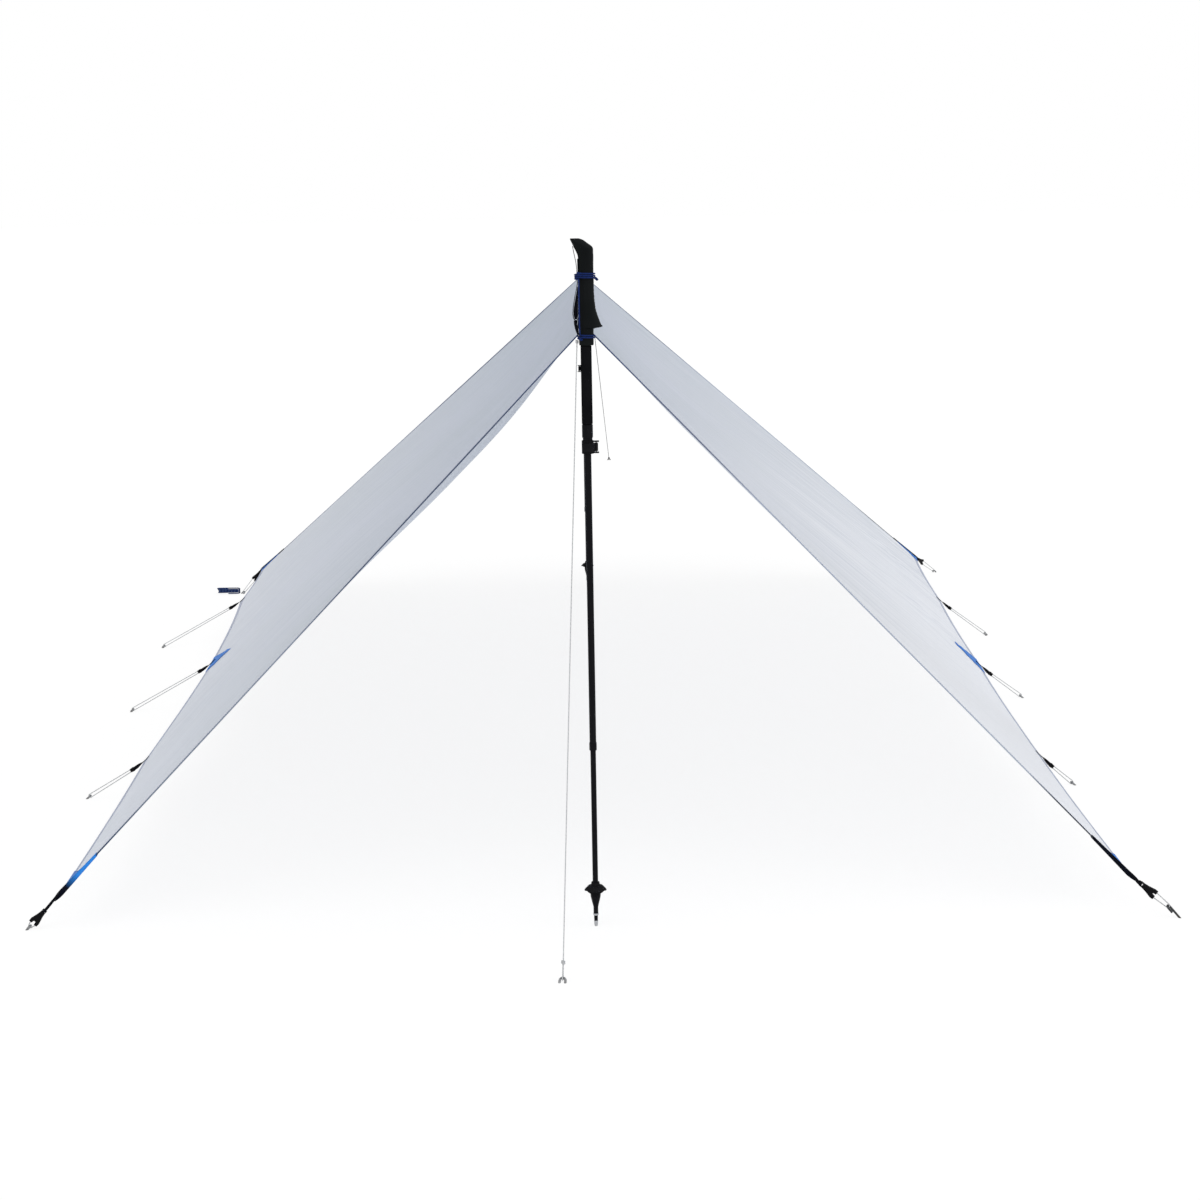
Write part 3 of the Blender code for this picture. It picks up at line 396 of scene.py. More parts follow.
SAG_NEAR, SAG_FAR = 1.4, 4.0


def ridge_point(along):
    start = Vector((0, RIDGE_END, FRONT_RIDGE_HEIGHT))
    end = Vector((REAR_POLE_SHIFT, RIDGE_LENGTH - RIDGE_END, REAR_RIDGE_HEIGHT))
    return start.lerp(end, along) - UP * RIDGE_SAG * math.sin(math.pi * along)


def hem_tie(side, index):
    out, along, height = HEM_TIES[side][index]
    return Vector((side * out, along, height))


def hem_point(side, along):
    bay = min(int(along * BAYS), BAYS - 1)
    part = along * BAYS - bay
    point = hem_tie(side, bay).lerp(hem_tie(side, bay + 1), part)
    inwards = (ridge_point(along) - point).normalized()
    return point + inwards * HEM_SCALLOP * math.sin(math.pi * part)


def outwards_of(side, along):
    """The direction square to a slope, away from the sheltered side."""
    slope = hem_point(side, along) - ridge_point(along)
    return slope.cross(Vector((0, side, 0))).normalized()


def sag_share(across):
    """The sag between ridge and hem, as a share of its depth at the deepest place."""
    deepest = SAG_NEAR / (SAG_NEAR + SAG_FAR)
    return (across / deepest) ** SAG_NEAR * ((1 - across) / (1 - deepest)) ** SAG_FAR


def cloth_point(side, across, along):
    ridge, hem = ridge_point(along), hem_point(side, along)
    depth = SAG[side] * (1 - (1 - 2 * along) ** 4)
    return ridge.lerp(hem, across) - outwards_of(side, along) * depth * sag_share(across)


def tie_label(side, index):
    return f"{TIE_NAMES[index]}_{SIDE_NAMES[side]}"


print("a front edge is", round((hem_tie(1, 0) - ridge_point(0)).length, 3), "m long")

# %% [markdown]
# Guy lines are thin braided cord, held taut between a line-lock and a stake. The braid could be
# modelled strand by strand, but a strand is a fifth of a millimetre, so it is a pattern on the
# cord's own lengths: two families of strands that cross, with a dark tracer now and then.

# %% Braided cord finishes
STRANDS_ROUND = 4
TRACER_PITCHES = 4
TRACER_FROM = 0.94


def braid(name, colour, fleck, pitch, roughness=0.75):
    recipe = Recipe(name, Specular_IOR_Level=0.15)
    along, round_it, _ = recipe.lengths()
    turn = 2 * math.pi
    one = abs((along * (turn / pitch) + round_it * (turn * STRANDS_ROUND)).sine())
    two = abs((along * (turn / pitch) - round_it * (turn * STRANDS_ROUND)).sine())
    weave = one * two
    tracer = (along * (turn / (pitch * TRACER_PITCHES)) + round_it * turn).sine() > TRACER_FROM
    wear = recipe.noise(60, 2)
    base = recipe.ramp(weave, (0.0, tuple(part * 0.55 for part in colour)), (0.55, colour))
    return recipe.set(
        Base_Color=recipe.between(tracer * 0.7, base, fleck),
        Roughness=wear * 0.2 + (roughness - 0.1),
        Normal=recipe.bump(weave, 0.25 * MM, 0.8),
    )


GUY_CORD = braid("guy cord", (0.60, 0.61, 0.62), (0.20, 0.22, 0.26), 1.6 * MM)
SHADED_CORD = braid("shaded guy cord", (0.05, 0.05, 0.06), (0.02, 0.02, 0.03), 1.6 * MM)
BLUE_CORD = braid("ridge cord", (0.006, 0.022, 0.13), (0.002, 0.007, 0.035), 2.0 * MM)
NAVY_CORD = braid("spare cord", (0.006, 0.022, 0.10), (0.10, 0.16, 0.32), 2.2 * MM)
print("three braided finishes")

# %% [markdown]
# Each of the ten hem lines is doubled: it leaves one bore of its lock, turns round the stake's
# hook and comes back to the other bore. A taut line is straight, so its path needs no simulation,
# only the sizes of the lock and the hook.

# %% Hem lines
CORD_RADIUS = 0.9 * MM
STAKE_RADIUS = 2.0 * MM
STAKE_BEND = 4.6 * MM
STAKE_SLANT = math.radians(45)
HEAD_HEIGHT = 6 * MM
FRONT_RIGHT_HEAD_HEIGHT = 20 * MM
BIGHT = STAKE_RADIUS + CORD_RADIUS + 2 * GAP
STRAP_REACH = {-1: (42 * MM, 12 * MM), 1: (24 * MM, 20 * MM)}
TAB_REACH = 24 * MM
LOCK_LENGTH, LOCK_STRAND, LOCK_BORE_START = 32 * MM, 5.3 * MM, 22 * MM
TOGGLE_LENGTH, TOGGLE_STRAND, TOGGLE_BORE_START = 10 * MM, 2.3 * MM, 4.5 * MM
LINE_STEP = 3 * MM


def stake_axes(anchor, ground):
    """A stake's own directions: down its rod, and level across its hook."""
    outwards = Vector((ground[0] - anchor.x, ground[1] - anchor.y, 0)).normalized()
    down = outwards * math.cos(STAKE_SLANT) - UP * math.sin(STAKE_SLANT)
    return down, down.cross(UP).normalized()


def stake_head(anchor, ground, height):
    down, level = stake_axes(anchor, ground)
    return Vector((*ground, 0)) + level * STAKE_BEND - down * height / math.sin(STAKE_SLANT)


def bight(head, down, level, steps=14):
    """A cord's way round a stake's hook, from below it to above it."""
    upright = level.cross(down)
    turns = [math.pi * step / steps for step in range(steps + 1)]
    return [head + (down * math.sin(turn) - upright * math.cos(turn)) * BIGHT for turn in turns]


def pull_frame(origin, pull):
    """X along the pull and Z level, so that a lock stands on edge with one strand above the other."""
    level = pull.cross(UP).normalized()
    return Matrix.Translation(origin) @ Matrix((pull, level.cross(pull), level)).transposed().to_4x4()


def tie_pull(side, index):
    """A tie's lock frame, its stake's head and the stake's directions."""
    anchor, ground = hem_tie(side, index), STAKES[side][index]
    height = FRONT_RIGHT_HEAD_HEIGHT if (side, index) == (1, 0) else HEAD_HEIGHT
    head = stake_head(anchor, ground, height)
    pull = (head - anchor).normalized()
    reach = STRAP_REACH[side][CORNERS.index(index)] if index in CORNERS else TAB_REACH
    return pull_frame(anchor + pull * reach, pull), head, stake_axes(anchor, ground)


def make_hem_line(side, index):
    matrix, head, axes = tie_pull(side, index)
    if index in CORNERS:
        start, end, strand = LOCK_BORE_START, LOCK_LENGTH, LOCK_STRAND
    else:
        start, end, strand = TOGGLE_BORE_START, TOGGLE_LENGTH, TOGGLE_STRAND
    there = [matrix @ Vector((x, -strand, 0)) for x in (start + GAP, end)]
    back = [matrix @ Vector((x, strand, 0)) for x in (end, start + GAP)]
    path = evenly(there + bight(head, *axes) + back, LINE_STEP)
    label = tie_label(side, index)
    line = cord_piece("line_" + label, path, CORD_RADIUS)
    finished(line, GUY_CORD, "white_cord", "guy_" + label)
    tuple(path[0])
    length_of(path)
    return length_of(path)


hem_lines = [make_hem_line(*tie) for tie in TIES]
print("hem lines of", [round(length, 3) for length in hem_lines], "m")

# %% [markdown]
# A ridge line runs from each handle to a stake on the ridge's own line: a single cord, knotted
# beside the handle and looped round the hook. A ball would do for a knot at this distance, but
# three turns of the same cord round the line look like one from near by too.

# %% Ridge lines and their knots
FRONT_KNOT = Vector((-14.2 * MM, 0, 0.9774))
REAR_KNOT = Vector((REAR_POLE_SHIFT + 15.981 * MM, RIDGE_LENGTH, 0.91449))
RIDGE_STAKES = {"front": (-0.050, -0.262), "rear": (0.086, 5.793)}
LOOP_LENGTH = 24 * MM
LOOP_HALF = CORD_RADIUS + 0.4 * MM
KNOT_OFFSETS = {"start": 1.7 * MM, "loop": 2.5 * MM}
KNOT_STEPS, KNOT_PITCH = 16, 1.9
KNOT_TUCKED, KNOT_EASE = 0.45, 12


def knot_piece(name, centre, axis, offset, radius, material, slot, turns=3):
    """Turns of cord laid side by side round a line, with both ends tucked in."""
    side = axis.orthogonal().normalized()
    other = axis.cross(side)
    steps, width = turns * KNOT_STEPS, turns * radius * KNOT_PITCH
    path = []
    for step in range(steps + 1):
        part = step / steps
        turn = 2 * math.pi * turns * part
        tuck = min(1.0, KNOT_EASE * min(part, 1 - part) + KNOT_TUCKED)
        away = side * math.cos(turn) + other * math.sin(turn)
        path.append(centre + axis * (part - 0.5) * width + away * offset * tuck)
    return finished(cord_piece(name, path, radius, 10), material, slot)


def make_ridge_line(end, start, cord):
    ground = RIDGE_STAKES[end]
    head = stake_head(start, ground, HEAD_HEIGHT)
    pull = (head - start).normalized()
    knot = head - pull * LOOP_LENGTH
    beside = pull.cross(UP).normalized().cross(pull) * LOOP_HALF
    loop = [knot - beside, *bight(head, *stake_axes(start, ground)), knot + beside]
    path = evenly([start, *loop], LINE_STEP)
    line = cord_piece("line_ridge_" + end, path, CORD_RADIUS)
    finished(line, cord, "white_cord", "guy_ridge_" + end)
    knots = [
        knot_piece(f"knot_{end}_{name}", place, pull, KNOT_OFFSETS[name], CORD_RADIUS, cord, "white_cord")
        for name, place in (("start", start), ("loop", knot))
    ]
    length_of(path)
    return length_of(path)


ridge_lines = [
    make_ridge_line("front", FRONT_KNOT, GUY_CORD), make_ridge_line("rear", REAR_KNOT, SHADED_CORD),
]
print("ridge lines of", [round(length, 3) for length in ridge_lines], "m")

# %% [markdown]
# The grip's outline is needed before the blue cord, which is wound on it. It is given as sections
# from the foot up: height, centre, and half widths across and along the ridge, in millimetres.
# The solids have these sections as flat bands. Here a smooth curve runs through them.

# %% The handle's sections
HANDLE_FOOT = 0.972
HANDLE_SECTIONS = (
    (0, 0.8, 10.4, 9.8),
    (2, 0.8, 11.6, 10.8),
    (22, 0.8, 11.8, 10.8),
    (26, 1.4, 12.6, 11.4),
    (29, 6.4, 20.4, 14.0),
    (34, 5.6, 18.4, 14.0),
    (56, 3.4, 13.6, 12.6),
    (78, 2.4, 12.2, 12.0),
    (98, 2.2, 12.0, 11.4),
    (122, 1.9, 12.0, 11.0),
    (138, 1.9, 12.3, 11.4),
    (145, 0.9, 13.1, 12.0),
    (154, -1.8, 14.8, 12.6),
    (161, -7.6, 12.2, 11.0),
    (165.5, -11.8, 10.2, 8.4),
    (168, -15.2, 7.2, 5.2),
)
HANDLE_POWER = 0.9


def handle_section(above_foot):
    """Centre x and half widths, in mm, at a height above the handle's foot."""
    height = min(max(above_foot / MM, HANDLE_SECTIONS[0][0]), HANDLE_SECTIONS[-1][0])
    for low, high in zip(HANDLE_SECTIONS, HANDLE_SECTIONS[1:]):
        if height <= high[0]:
            part = (height - low[0]) / (high[0] - low[0])
            return [within(a, b, part) for a, b in zip(low, high)][1:]


def handle_outline(above_foot, place, grow=0.0):
    """A point of the handle's outline, place being the share of a turn from +X."""
    centre, half_x, half_y = [length * MM for length in handle_section(above_foot)]
    across, up = rounded(2 * math.pi * place, HANDLE_POWER)
    return Vector((centre + (half_x + grow) * across, (half_y + grow) * up, HANDLE_FOOT + above_foot))


def pole_frame(end):
    """Where a pole's upper section stands. The rear one faces back and stands lower."""
    if end == "front":
        return Matrix.Identity(4)
    foot = Matrix.Translation((REAR_POLE_SHIFT, RIDGE_LENGTH, 0)) @ Matrix.Rotation(math.pi, 4, "Z")
    return foot @ Matrix.Translation((0, 0, -REAR_DROP))


ENDS = ("front", "rear")
print("the grip is", HANDLE_SECTIONS[-1][0] - HANDLE_SECTIONS[0][0], "mm tall")

# %% [markdown]
# The blue cord ties the tarp's peak to the handle. It makes three turns on the neck, over the
# wrist strap, drops along the front left of the grip and ends in two turns round its foot. The
# turns step down by a cord's width, like any hand-wound whipping.

# %% Blue cord on each handle
BLUE_RADIUS = 1.2 * MM
BLUE_PITCH = 3.1 * MM
BAND_CENTRE, WRAP_CENTRE = 109 * MM, 13 * MM
TURN_STEPS = 56
FIRST_PLACE = 9 / 14
ON_GRIP = GAP + BLUE_RADIUS + 0.3 * MM
OVER_STRAP = 2 * MM + 7 * GAP
STRAND_X, STRAND_Y = -9.8 * MM, -15.5 * MM
STRAND_SPAN = (88 * MM, 28 * MM)
ON_STRAP = 1.2
TIE_KNOT = Vector((17.6, -5, 105)) * MM
TIE_KNOT_AXIS = Vector((1, 0, -0.8))


def cord_turns(centre, turns, strap_room):
    steps, points = turns * TURN_STEPS, []
    for step in range(steps + 1):
        height = centre + (0.5 - step / steps) * turns * BLUE_PITCH
        place = (FIRST_PLACE + step / TURN_STEPS) % 1.0
        point = handle_outline(height, place, ON_GRIP)
        leftwards = -ON_STRAP * math.cos(2 * math.pi * place)
        point.x -= strap_room * max(0, min(1, leftwards))
        points.append(point)
    return points


def blue_cord_path(end):
    strand = [Vector((STRAND_X, STRAND_Y, HANDLE_FOOT + height)) for height in STRAND_SPAN]
    band, wrap = cord_turns(BAND_CENTRE, 3, OVER_STRAP), cord_turns(WRAP_CENTRE, 2, 0)
    drop = eased([band[-3], band[-1], *strand, wrap[0], wrap[2]], 10)[10:-10]
    return [pole_frame(end) @ point for point in band[:-1] + drop + wrap[1:]]


def make_blue_cord(end):
    path = blue_cord_path(end)
    cord = cord_piece("blue_cord_" + end, path, BLUE_RADIUS)
    finished(cord, BLUE_CORD, "blue_cord", "ridge_cord_" + end)
    turned = pole_frame(end)
    places = (
        ("band", path[0], path[1] - path[0], 2),
        ("wrap", path[-1], path[-1] - path[-2], 2),
        ("tie", turned @ (TIE_KNOT + UP * HANDLE_FOOT), turned.to_3x3() @ TIE_KNOT_AXIS, 3),
    )
    for label, point, ahead, turns in places:
        name, axis = f"blue_knot_{label}_{end}", ahead.normalized()
        knot = knot_piece(name, point, axis, BLUE_RADIUS, BLUE_RADIUS, BLUE_CORD, "blue_cord", turns)
    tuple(path[0])
    length_of(path)
    return length_of(path)


print("blue cords of", [round(make_blue_cord(end), 3) for end in ENDS], "m")

# %% [markdown]
# The spare cord lies on the ground as a small hank, next to the rear left stake. Its loops spiral
# up by more than a cord's thickness, so they rest on each other without touching.

# %% Spare cord in a hank
HANK_RADIUS = 1.5 * MM
HANK_LOOPS, HANK_STEPS = 4, 72
HANK_HALF_LENGTH, HANK_INSET, HANK_END_RADIUS = 36 * MM, 3 * MM, 9 * MM
HANK_PITCH, HANK_FAN, HANK_STRAIGHTNESS = 3.8 * MM, 2 * MM, 3


def hank_path():
    """The loops, laid where the solid hank lies."""
    low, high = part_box("spare_cord_hank")
    end_x, middle_y = high[0] - HANK_RADIUS - HANK_HALF_LENGTH, (low[1] + high[1]) / 2
    half_stack = HANK_LOOPS / 2 * HANK_PITCH
    centre = Vector((end_x, middle_y, half_stack + HANK_RADIUS + GAP))
    path = []
    for step in range(HANK_LOOPS * HANK_STEPS + 1):
        loops = step / HANK_STEPS
        turn = 2 * math.pi * (loops - 0.25)
        far_end = (1 - math.cos(turn)) / 2
        half_length = HANK_HALF_LENGTH - HANK_INSET - HANK_FAN * far_end * (1 + math.sin(0.8 * turn))
        height = loops * HANK_PITCH - half_stack
        slide = max(-1.0, min(1.0, HANK_STRAIGHTNESS * math.cos(turn)))
        out = (half_length - HANK_END_RADIUS) * slide + HANK_END_RADIUS * math.cos(turn)
        path.append(centre + Vector((out, HANK_END_RADIUS * math.sin(turn), height)))
    return path


hank_line = hank_path()
hank = cord_piece("spare_cord", hank_line, HANK_RADIUS, 14)
finished(hank, NAVY_CORD, "navy_cord", "spare_cord_hank")
length_of(hank_line)
print("spare cord of", round(length_of(hank_line), 3), "m")

# %% [markdown]
# The cloth is one sheet that runs over the ridge from hem to hem. A real one is two widths of
# coated ripstop sewn on the ridge. It could be a cloth simulation pinned at the ties, but a taut
# pitch is nearly at rest, so a formula is steadier and gives the same cloth each time: a straight
# slope, an inward sag, tension creases that fan out from each tie, and slack ripples on the hem.

# %% Cloth sheet
CREASE_DEPTH, CREASE_REACH, CREASE_START = 2.4 * MM, 0.42, 0.08
CREASES_IN_FAN = 11
HEM_RIPPLE, HEM_BAND, HEM_WAVES = 2.5 * MM, 0.2, 26
SLOW_WAVE, SLOW_ACROSS, SLOW_ALONG = 3.0 * MM, 3.1, 1.7
EDGE_EASE, END_EASE = 6, 25
SHEET_ROWS, SHEET_COLUMNS = 220, 84
CREASE_SPOTS = ((0, 0), (0, 1), (1, 0), (1, 0.25), (1, 0.5), (1, 0.75), (1, 1))
ALONG = {"front": (0.0, 1), "rear": (1.0, -1)}
END_STEP = 0.004


def crease_height(side, across, along):
    """Small relief on the cloth, along its outward direction."""
    x, y = across * SLOPE, along * RIDGE_LENGTH
    height = 0.0
    for spot, (spot_across, spot_along) in enumerate(CREASE_SPOTS):
        away_x, away_y = x - spot_across * SLOPE, y - spot_along * RIDGE_LENGTH
        reach = math.hypot(away_x, away_y)
        fade = math.exp(-((reach / CREASE_REACH) ** 2)) * min(1.0, reach / CREASE_START)
        fan = math.atan2(away_y, away_x) * (CREASES_IN_FAN + spot)
        height += CREASE_DEPTH * fade * math.sin(fan + side * 1.3 + spot)
    near_hem = max(0.0, (across - 1 + HEM_BAND) / HEM_BAND)
    bays = abs(math.sin(BAYS * math.pi * along))
    height += HEM_RIPPLE * near_hem ** 2 * math.sin(HEM_WAVES * math.pi * along + side) * bays
    middle = math.sin(math.pi * along) * math.sin(math.pi * across)
    height += SLOW_WAVE * math.sin(SLOW_ACROSS * x + SLOW_ALONG * y + side) * middle
    edge = min(1.0, EDGE_EASE * min(across, 1 - across)) * min(1.0, END_EASE * min(along, 1 - along))
    return height * max(0.0, edge)


def sheet_point(side, across, along, lift=0.0):
    out = outwards_of(side, along)
    return cloth_point(side, across, along) + out * (crease_height(side, across, along) + lift)


def end_edge(side, across, end):
    """A point of an end's edge, the way into the cloth from it, and the way out of its plane."""
    along, way = ALONG[end]
    point = sheet_point(side, across, along)
    inwards = (sheet_point(side, across, along + way * END_STEP) - point).normalized()
    return point, inwards, outwards_of(side, along)


def sheet_piece(name):
    def spot_of(row, column):
        along, place = row / SHEET_ROWS, column / SHEET_COLUMNS - 1
        point = sheet_point(-1 if place < 0 else 1, abs(place), along)
        return point, (place * SLOPE, along * RIDGE_LENGTH)
    return grid_piece(name, SHEET_ROWS, 2 * SHEET_COLUMNS, spot_of)


print("cloth grid", SHEET_ROWS, "by", 2 * SHEET_COLUMNS)

# %% [markdown]
# Coated ripstop is a thin plain weave with thicker threads every few millimetres, and a film that
# makes it slightly glossy and lets some light through. The squares are a pattern on the cloth's
# own lengths. Broad noise gives the uneven tone that hung cloth has. Light is painted onto the
# cloth too: the right slope, and the left one towards its hem, are painted paler.

# %% Cloth finish
RIPSTOP_PITCH = 6 * MM
# Near white: the colour of the light painted onto the cloth's slopes
PAINTED_LIGHT_CLOTH = (0.93, 0.95, 0.99)


def paint_light_on_slopes(recipe, across, along, tone):
    """Painted light: the right slope is painted paler, most near its hem and front edge; the left one
    towards its hem.
    """
    right, left = (across * (1 / SLOPE)).most(0), (across * (-1 / SLOPE)).most(0)
    front = 1 - along * (1 / RIDGE_LENGTH)
    # Streaks of uneven tone run down the slope and lean a little; they also move the painted light, more so
    # on the right slope
    slanted = recipe.node("CombineXYZ", inputs={0: across * 2, 1: along * 60 - across * 25})
    streaks = (recipe.noise(1.0, 3, slanted) - 0.5) * (right * 1.7 + 0.6)
    # Painted light: on the right slope the first 0.24 m behind the front edge are painted paler still
    painted_edge_light = (along * -5 + 1.2).most(0).least(1) * right * 0.3
    # How much painted light each place gets, mixing the cloth's tone towards near white
    share = right * (front * 0.85 + 0.65) + (across > 0) * 0.05 + (left * 0.7 - 0.12).most(0)
    return recipe.between(share + painted_edge_light + streaks, tone, PAINTED_LIGHT_CLOTH)


def ripstop(name, colour, shade, through=None, share=0.0, slopes=False):
    """Cloth in two tones. A share of the light goes through it, and slopes paints light onto it as a paler
    colour on the lit side.
    """
    thin = share > 0
    recipe = Recipe(name, Sheen_Weight=0.12 if thin else 0.0, Specular_IOR_Level=0.5 if thin else 0.1)
    across, along, _ = recipe.lengths()
    turn = math.pi / RIPSTOP_PITCH
    threads = abs((across * turn).sine()) ** 40 + abs((along * turn).sine()) ** 40
    broad, fine = recipe.noise(1.7, 4), recipe.noise(35, 3)
    tone = recipe.ramp(broad, (0.34, shade), (0.66, colour))
    if slopes:
        tone = paint_light_on_slopes(recipe, across, along, tone)
    recipe.set(
        Base_Color=recipe.between(threads.least(1) * 0.12, tone, tuple(part * 0.8 for part in colour)),
        Roughness=fine * 0.2 + 0.38,
        Normal=recipe.bump(threads * 0.4 + fine * 0.6, 0.35 * MM, 0.5),
    )
    if thin:
        recipe.blend(share, recipe.node("BsdfTranslucent", inputs={"Color": through}))
    return recipe.material


# The canopy's cloth, with light painted onto its slopes
CLOTH = ripstop(
    "coated ripstop", (0.48, 0.53, 0.62), (0.42, 0.48, 0.54), through=(0.60, 0.64, 0.75), share=0.35,
    slopes=True,
)
canopy = finished(sheet_piece("canopy"), CLOTH, "cloth", "canopy_left", "canopy_right")
print("cloth of", len(canopy.data.polygons), "faces")

# %% [markdown]
# The two ends are bound with a folded slate-blue tape, and the hems are the cloth itself turned
# over twice. Both are closed strips that hold the cloth's edge inside them, as real ones do.

# %% Edge binding and hems
TAPE_WIDTH = 9 * MM
TAPE_HALF = 1.0 * MM
EDGE_PAST, EDGE_SHOULDER = 0.9 * MM, 0.5 * MM
HEM_WIDTH = 11 * MM
HEM_HALF, HEM_STEP = 0.7 * MM, 0.015
EDGE_STEPS = 160


def edge_ring(point, inwards, out, width, half):
    section = (
        (-EDGE_PAST, 0), (-EDGE_SHOULDER, half * 0.8), (0, half), (width * 0.5, half),
        (width, half * 0.8), (width, -half * 0.8), (width * 0.5, -half), (0, -half),
        (-EDGE_SHOULDER, -half * 0.8),
    )
    return [point + inwards * deep + out * up for deep, up in section]


def binding_piece(end):
    rings = []
    for index in range(2 * EDGE_STEPS + 1):
        place = index / EDGE_STEPS - 1
        point, inwards, out = end_edge(-1 if place < 0 else 1, abs(place), end)
        if index == EDGE_STEPS:
            out = UP / out.z
        rings.append(edge_ring(point, inwards, out, TAPE_WIDTH, TAPE_HALF))
    return skin("binding_" + end, rings)


def hem_piece(side):
    rings = []
    for index in range(2 * EDGE_STEPS + 1):
        along = index / (2 * EDGE_STEPS)
        point = sheet_point(side, 1.0, along)
        inwards = (sheet_point(side, 1 - HEM_STEP, along) - point).normalized()
        rings.append(edge_ring(point, inwards, outwards_of(side, along), HEM_WIDTH, HEM_HALF))
    return skin("hem_" + SIDE_NAMES[side], rings)


# Tones of the tape from the left corner over the ridge to the right one: its slate colour with
# painted shade and painted light, darkest at the two corners and palest on the right slope
TAPE_COLOUR_LIGHT_AND_SHADE = (
    (0.00, (0.004, 0.006, 0.012)), (0.05, (0.015, 0.040, 0.100)), (0.10, (0.160, 0.190, 0.250)),
    (0.22, (0.190, 0.220, 0.290)), (0.28, (0.050, 0.070, 0.130)), (0.42, (0.050, 0.070, 0.130)),
    (0.50, (0.020, 0.045, 0.140)), (0.60, (0.080, 0.100, 0.170)), (0.66, (0.300, 0.340, 0.430)),
    (0.90, (0.340, 0.380, 0.460)), (0.93, (0.030, 0.040, 0.060)), (1.00, (0.004, 0.005, 0.008)),
)


def tape_finish():
    recipe = Recipe("slate binding", Specular_IOR_Level=0.3)
    along, _, _ = recipe.lengths()
    ribs = abs((along * (math.pi / (0.9 * MM))).sine())
    worn = recipe.noise(25, 3)
    # The base colour is painted shade and light, picked by the place along the tape
    place = along * (0.5 / SLOPE) + (worn - 0.5) * 0.03
    return recipe.set(
        Base_Color=recipe.ramp(place, *TAPE_COLOUR_LIGHT_AND_SHADE),
        Roughness=worn * 0.2 + 0.55,
        Normal=recipe.bump(ribs, 0.15 * MM, 0.6),
    )


SLATE_TAPE = tape_finish()
HEM_CLOTH = ripstop(
    "hem cloth", (0.42, 0.46, 0.58), (0.36, 0.41, 0.54), through=(0.4, 0.45, 0.6), share=0.15,
)
for end in ENDS:
    finished(binding_piece(end), SLATE_TAPE, "cloth")
for side in SIDE_NAMES:
    finished(hem_piece(side), HEM_CLOTH, "cloth")
print("two bindings and two hems")

# %% [markdown]
# The two widths of cloth meet on the ridge under a folded tape, which keeps the stitch holes dry.

# %% Ridge tape
SEAM_LEG = 12 * MM
SEAM_LIFT = 0.8 * MM
SEAM_HALF = 0.5 * MM
SEAM_SHOULDER, SEAM_CROWN = 0.2, 0.9


def ridge_tape():
    rings = []
    for index in range(2 * EDGE_STEPS + 1):
        along = index / (2 * EDGE_STEPS)
        ridge = ridge_point(along)
        left_out, right_out = [outwards_of(side, along) for side in SIDE_NAMES]
        left, right = [
            (sheet_point(side, 0.01, along) - ridge).normalized() * SEAM_LEG for side in SIDE_NAMES
        ]
        high, low, peak = SEAM_LIFT + SEAM_HALF, SEAM_LIFT - SEAM_HALF, 1 / left_out.z
        rings.append([
            ridge + left + left_out * high,
            ridge + left * SEAM_SHOULDER + left_out * high,
            ridge + UP * high * peak * SEAM_CROWN,
            ridge + right * SEAM_SHOULDER + right_out * high,
            ridge + right + right_out * high,
            ridge + right + right_out * low,
            ridge + UP * low * peak,
            ridge + left + left_out * low,
        ])
    return skin("ridge_tape", rings)


finished(ridge_tape(), HEM_CLOTH, "cloth", "ridge_seam")
print("ridge tape along", RIDGE_LENGTH, "m")

# %% [markdown]
# Corner patches spread the pull of the webbing into the cloth. Each is a triangle of bright blue
# ripstop with an inner edge that curves towards the corner, turned under and sewn down.

# %% Corner patches
PATCH_ACROSS, PATCH_ALONG = 0.070, 0.033
PATCH_LIFT = 1.2 * MM
PATCH_THICKNESS, PATCH_TURN_UNDER = 0.7 * MM, 0.5 * MM
PATCH_START, PATCH_BOW = 0.02, 0.22
PATCH_STEPS = 24


def patch_point(side, index, share, out_share, lift=0.0):
    """share runs along the inner edge, out_share from the corner to that edge."""
    end, way = ALONG[TIE_NAMES[index]]
    bow = 1 - PATCH_BOW * math.sin(math.pi * share)
    across = 1.0 - PATCH_ACROSS * (1 - share) * out_share * bow
    along = end + way * PATCH_ALONG * share * out_share * bow
    return sheet_point(side, across, along, PATCH_LIFT + lift)


def sewn_on(obj, side, index):
    """Turns a patch to the outside of the cloth and gives it its thickness."""
    if obj.data.polygons[0].normal.dot(outwards_of(side, index / BAYS)) < 0:
        obj.data.flip_normals()
    wall = obj.modifiers.new("wall", "SOLIDIFY")
    wall.thickness, wall.offset = PATCH_THICKNESS, 0
    return finished(obj, BLUE_RIPSTOP, "blue_webbing")


def corner_patch(side, index):
    """The patch's last row is turned under, so it lies a little lower."""
    def spot_of(row, step):
        share, out_share = step / PATCH_STEPS, within(PATCH_START, 1, row / PATCH_STEPS)
        lift = -PATCH_TURN_UNDER if row == PATCH_STEPS else 0.0
        mark = (out_share * 0.1, share * out_share * 0.13)
        return patch_point(side, index, share, out_share, lift), mark
    return grid_piece("patch_" + tie_label(side, index), PATCH_STEPS, PATCH_STEPS, spot_of)


BLUE_RIPSTOP = ripstop("blue ripstop", (0.004, 0.15, 0.55), (0.003, 0.11, 0.42))
for tie in CORNER_TIES:
    sewn_on(corner_patch(*tie), *tie)
print("four corner patches")

# %% [markdown]
# Flat webbing runs from each patch round the bar of the lock and back under the cloth. It is a
# ribbon through a handful of stations, smoothed so that it bends like cloth round the bar. At
# each corner more of it is folded over the cloth's end edge, which the next cell makes.

# %% Corner webbing
WEBBING = 1.2 * MM
STRAP_WIDTH = 5.0 * MM
STRAP_ON_CLOTH = (26 * MM, -2 * MM)
STRAP_LIFT, STRAP_BEND, STRAP_BACK = 2.1 * MM, 0.8 * MM, -4 * MM
STATION_STEPS = 5
LOCK_THICKNESS = 4.5 * MM
LOCK_BAR = 2.0 * MM


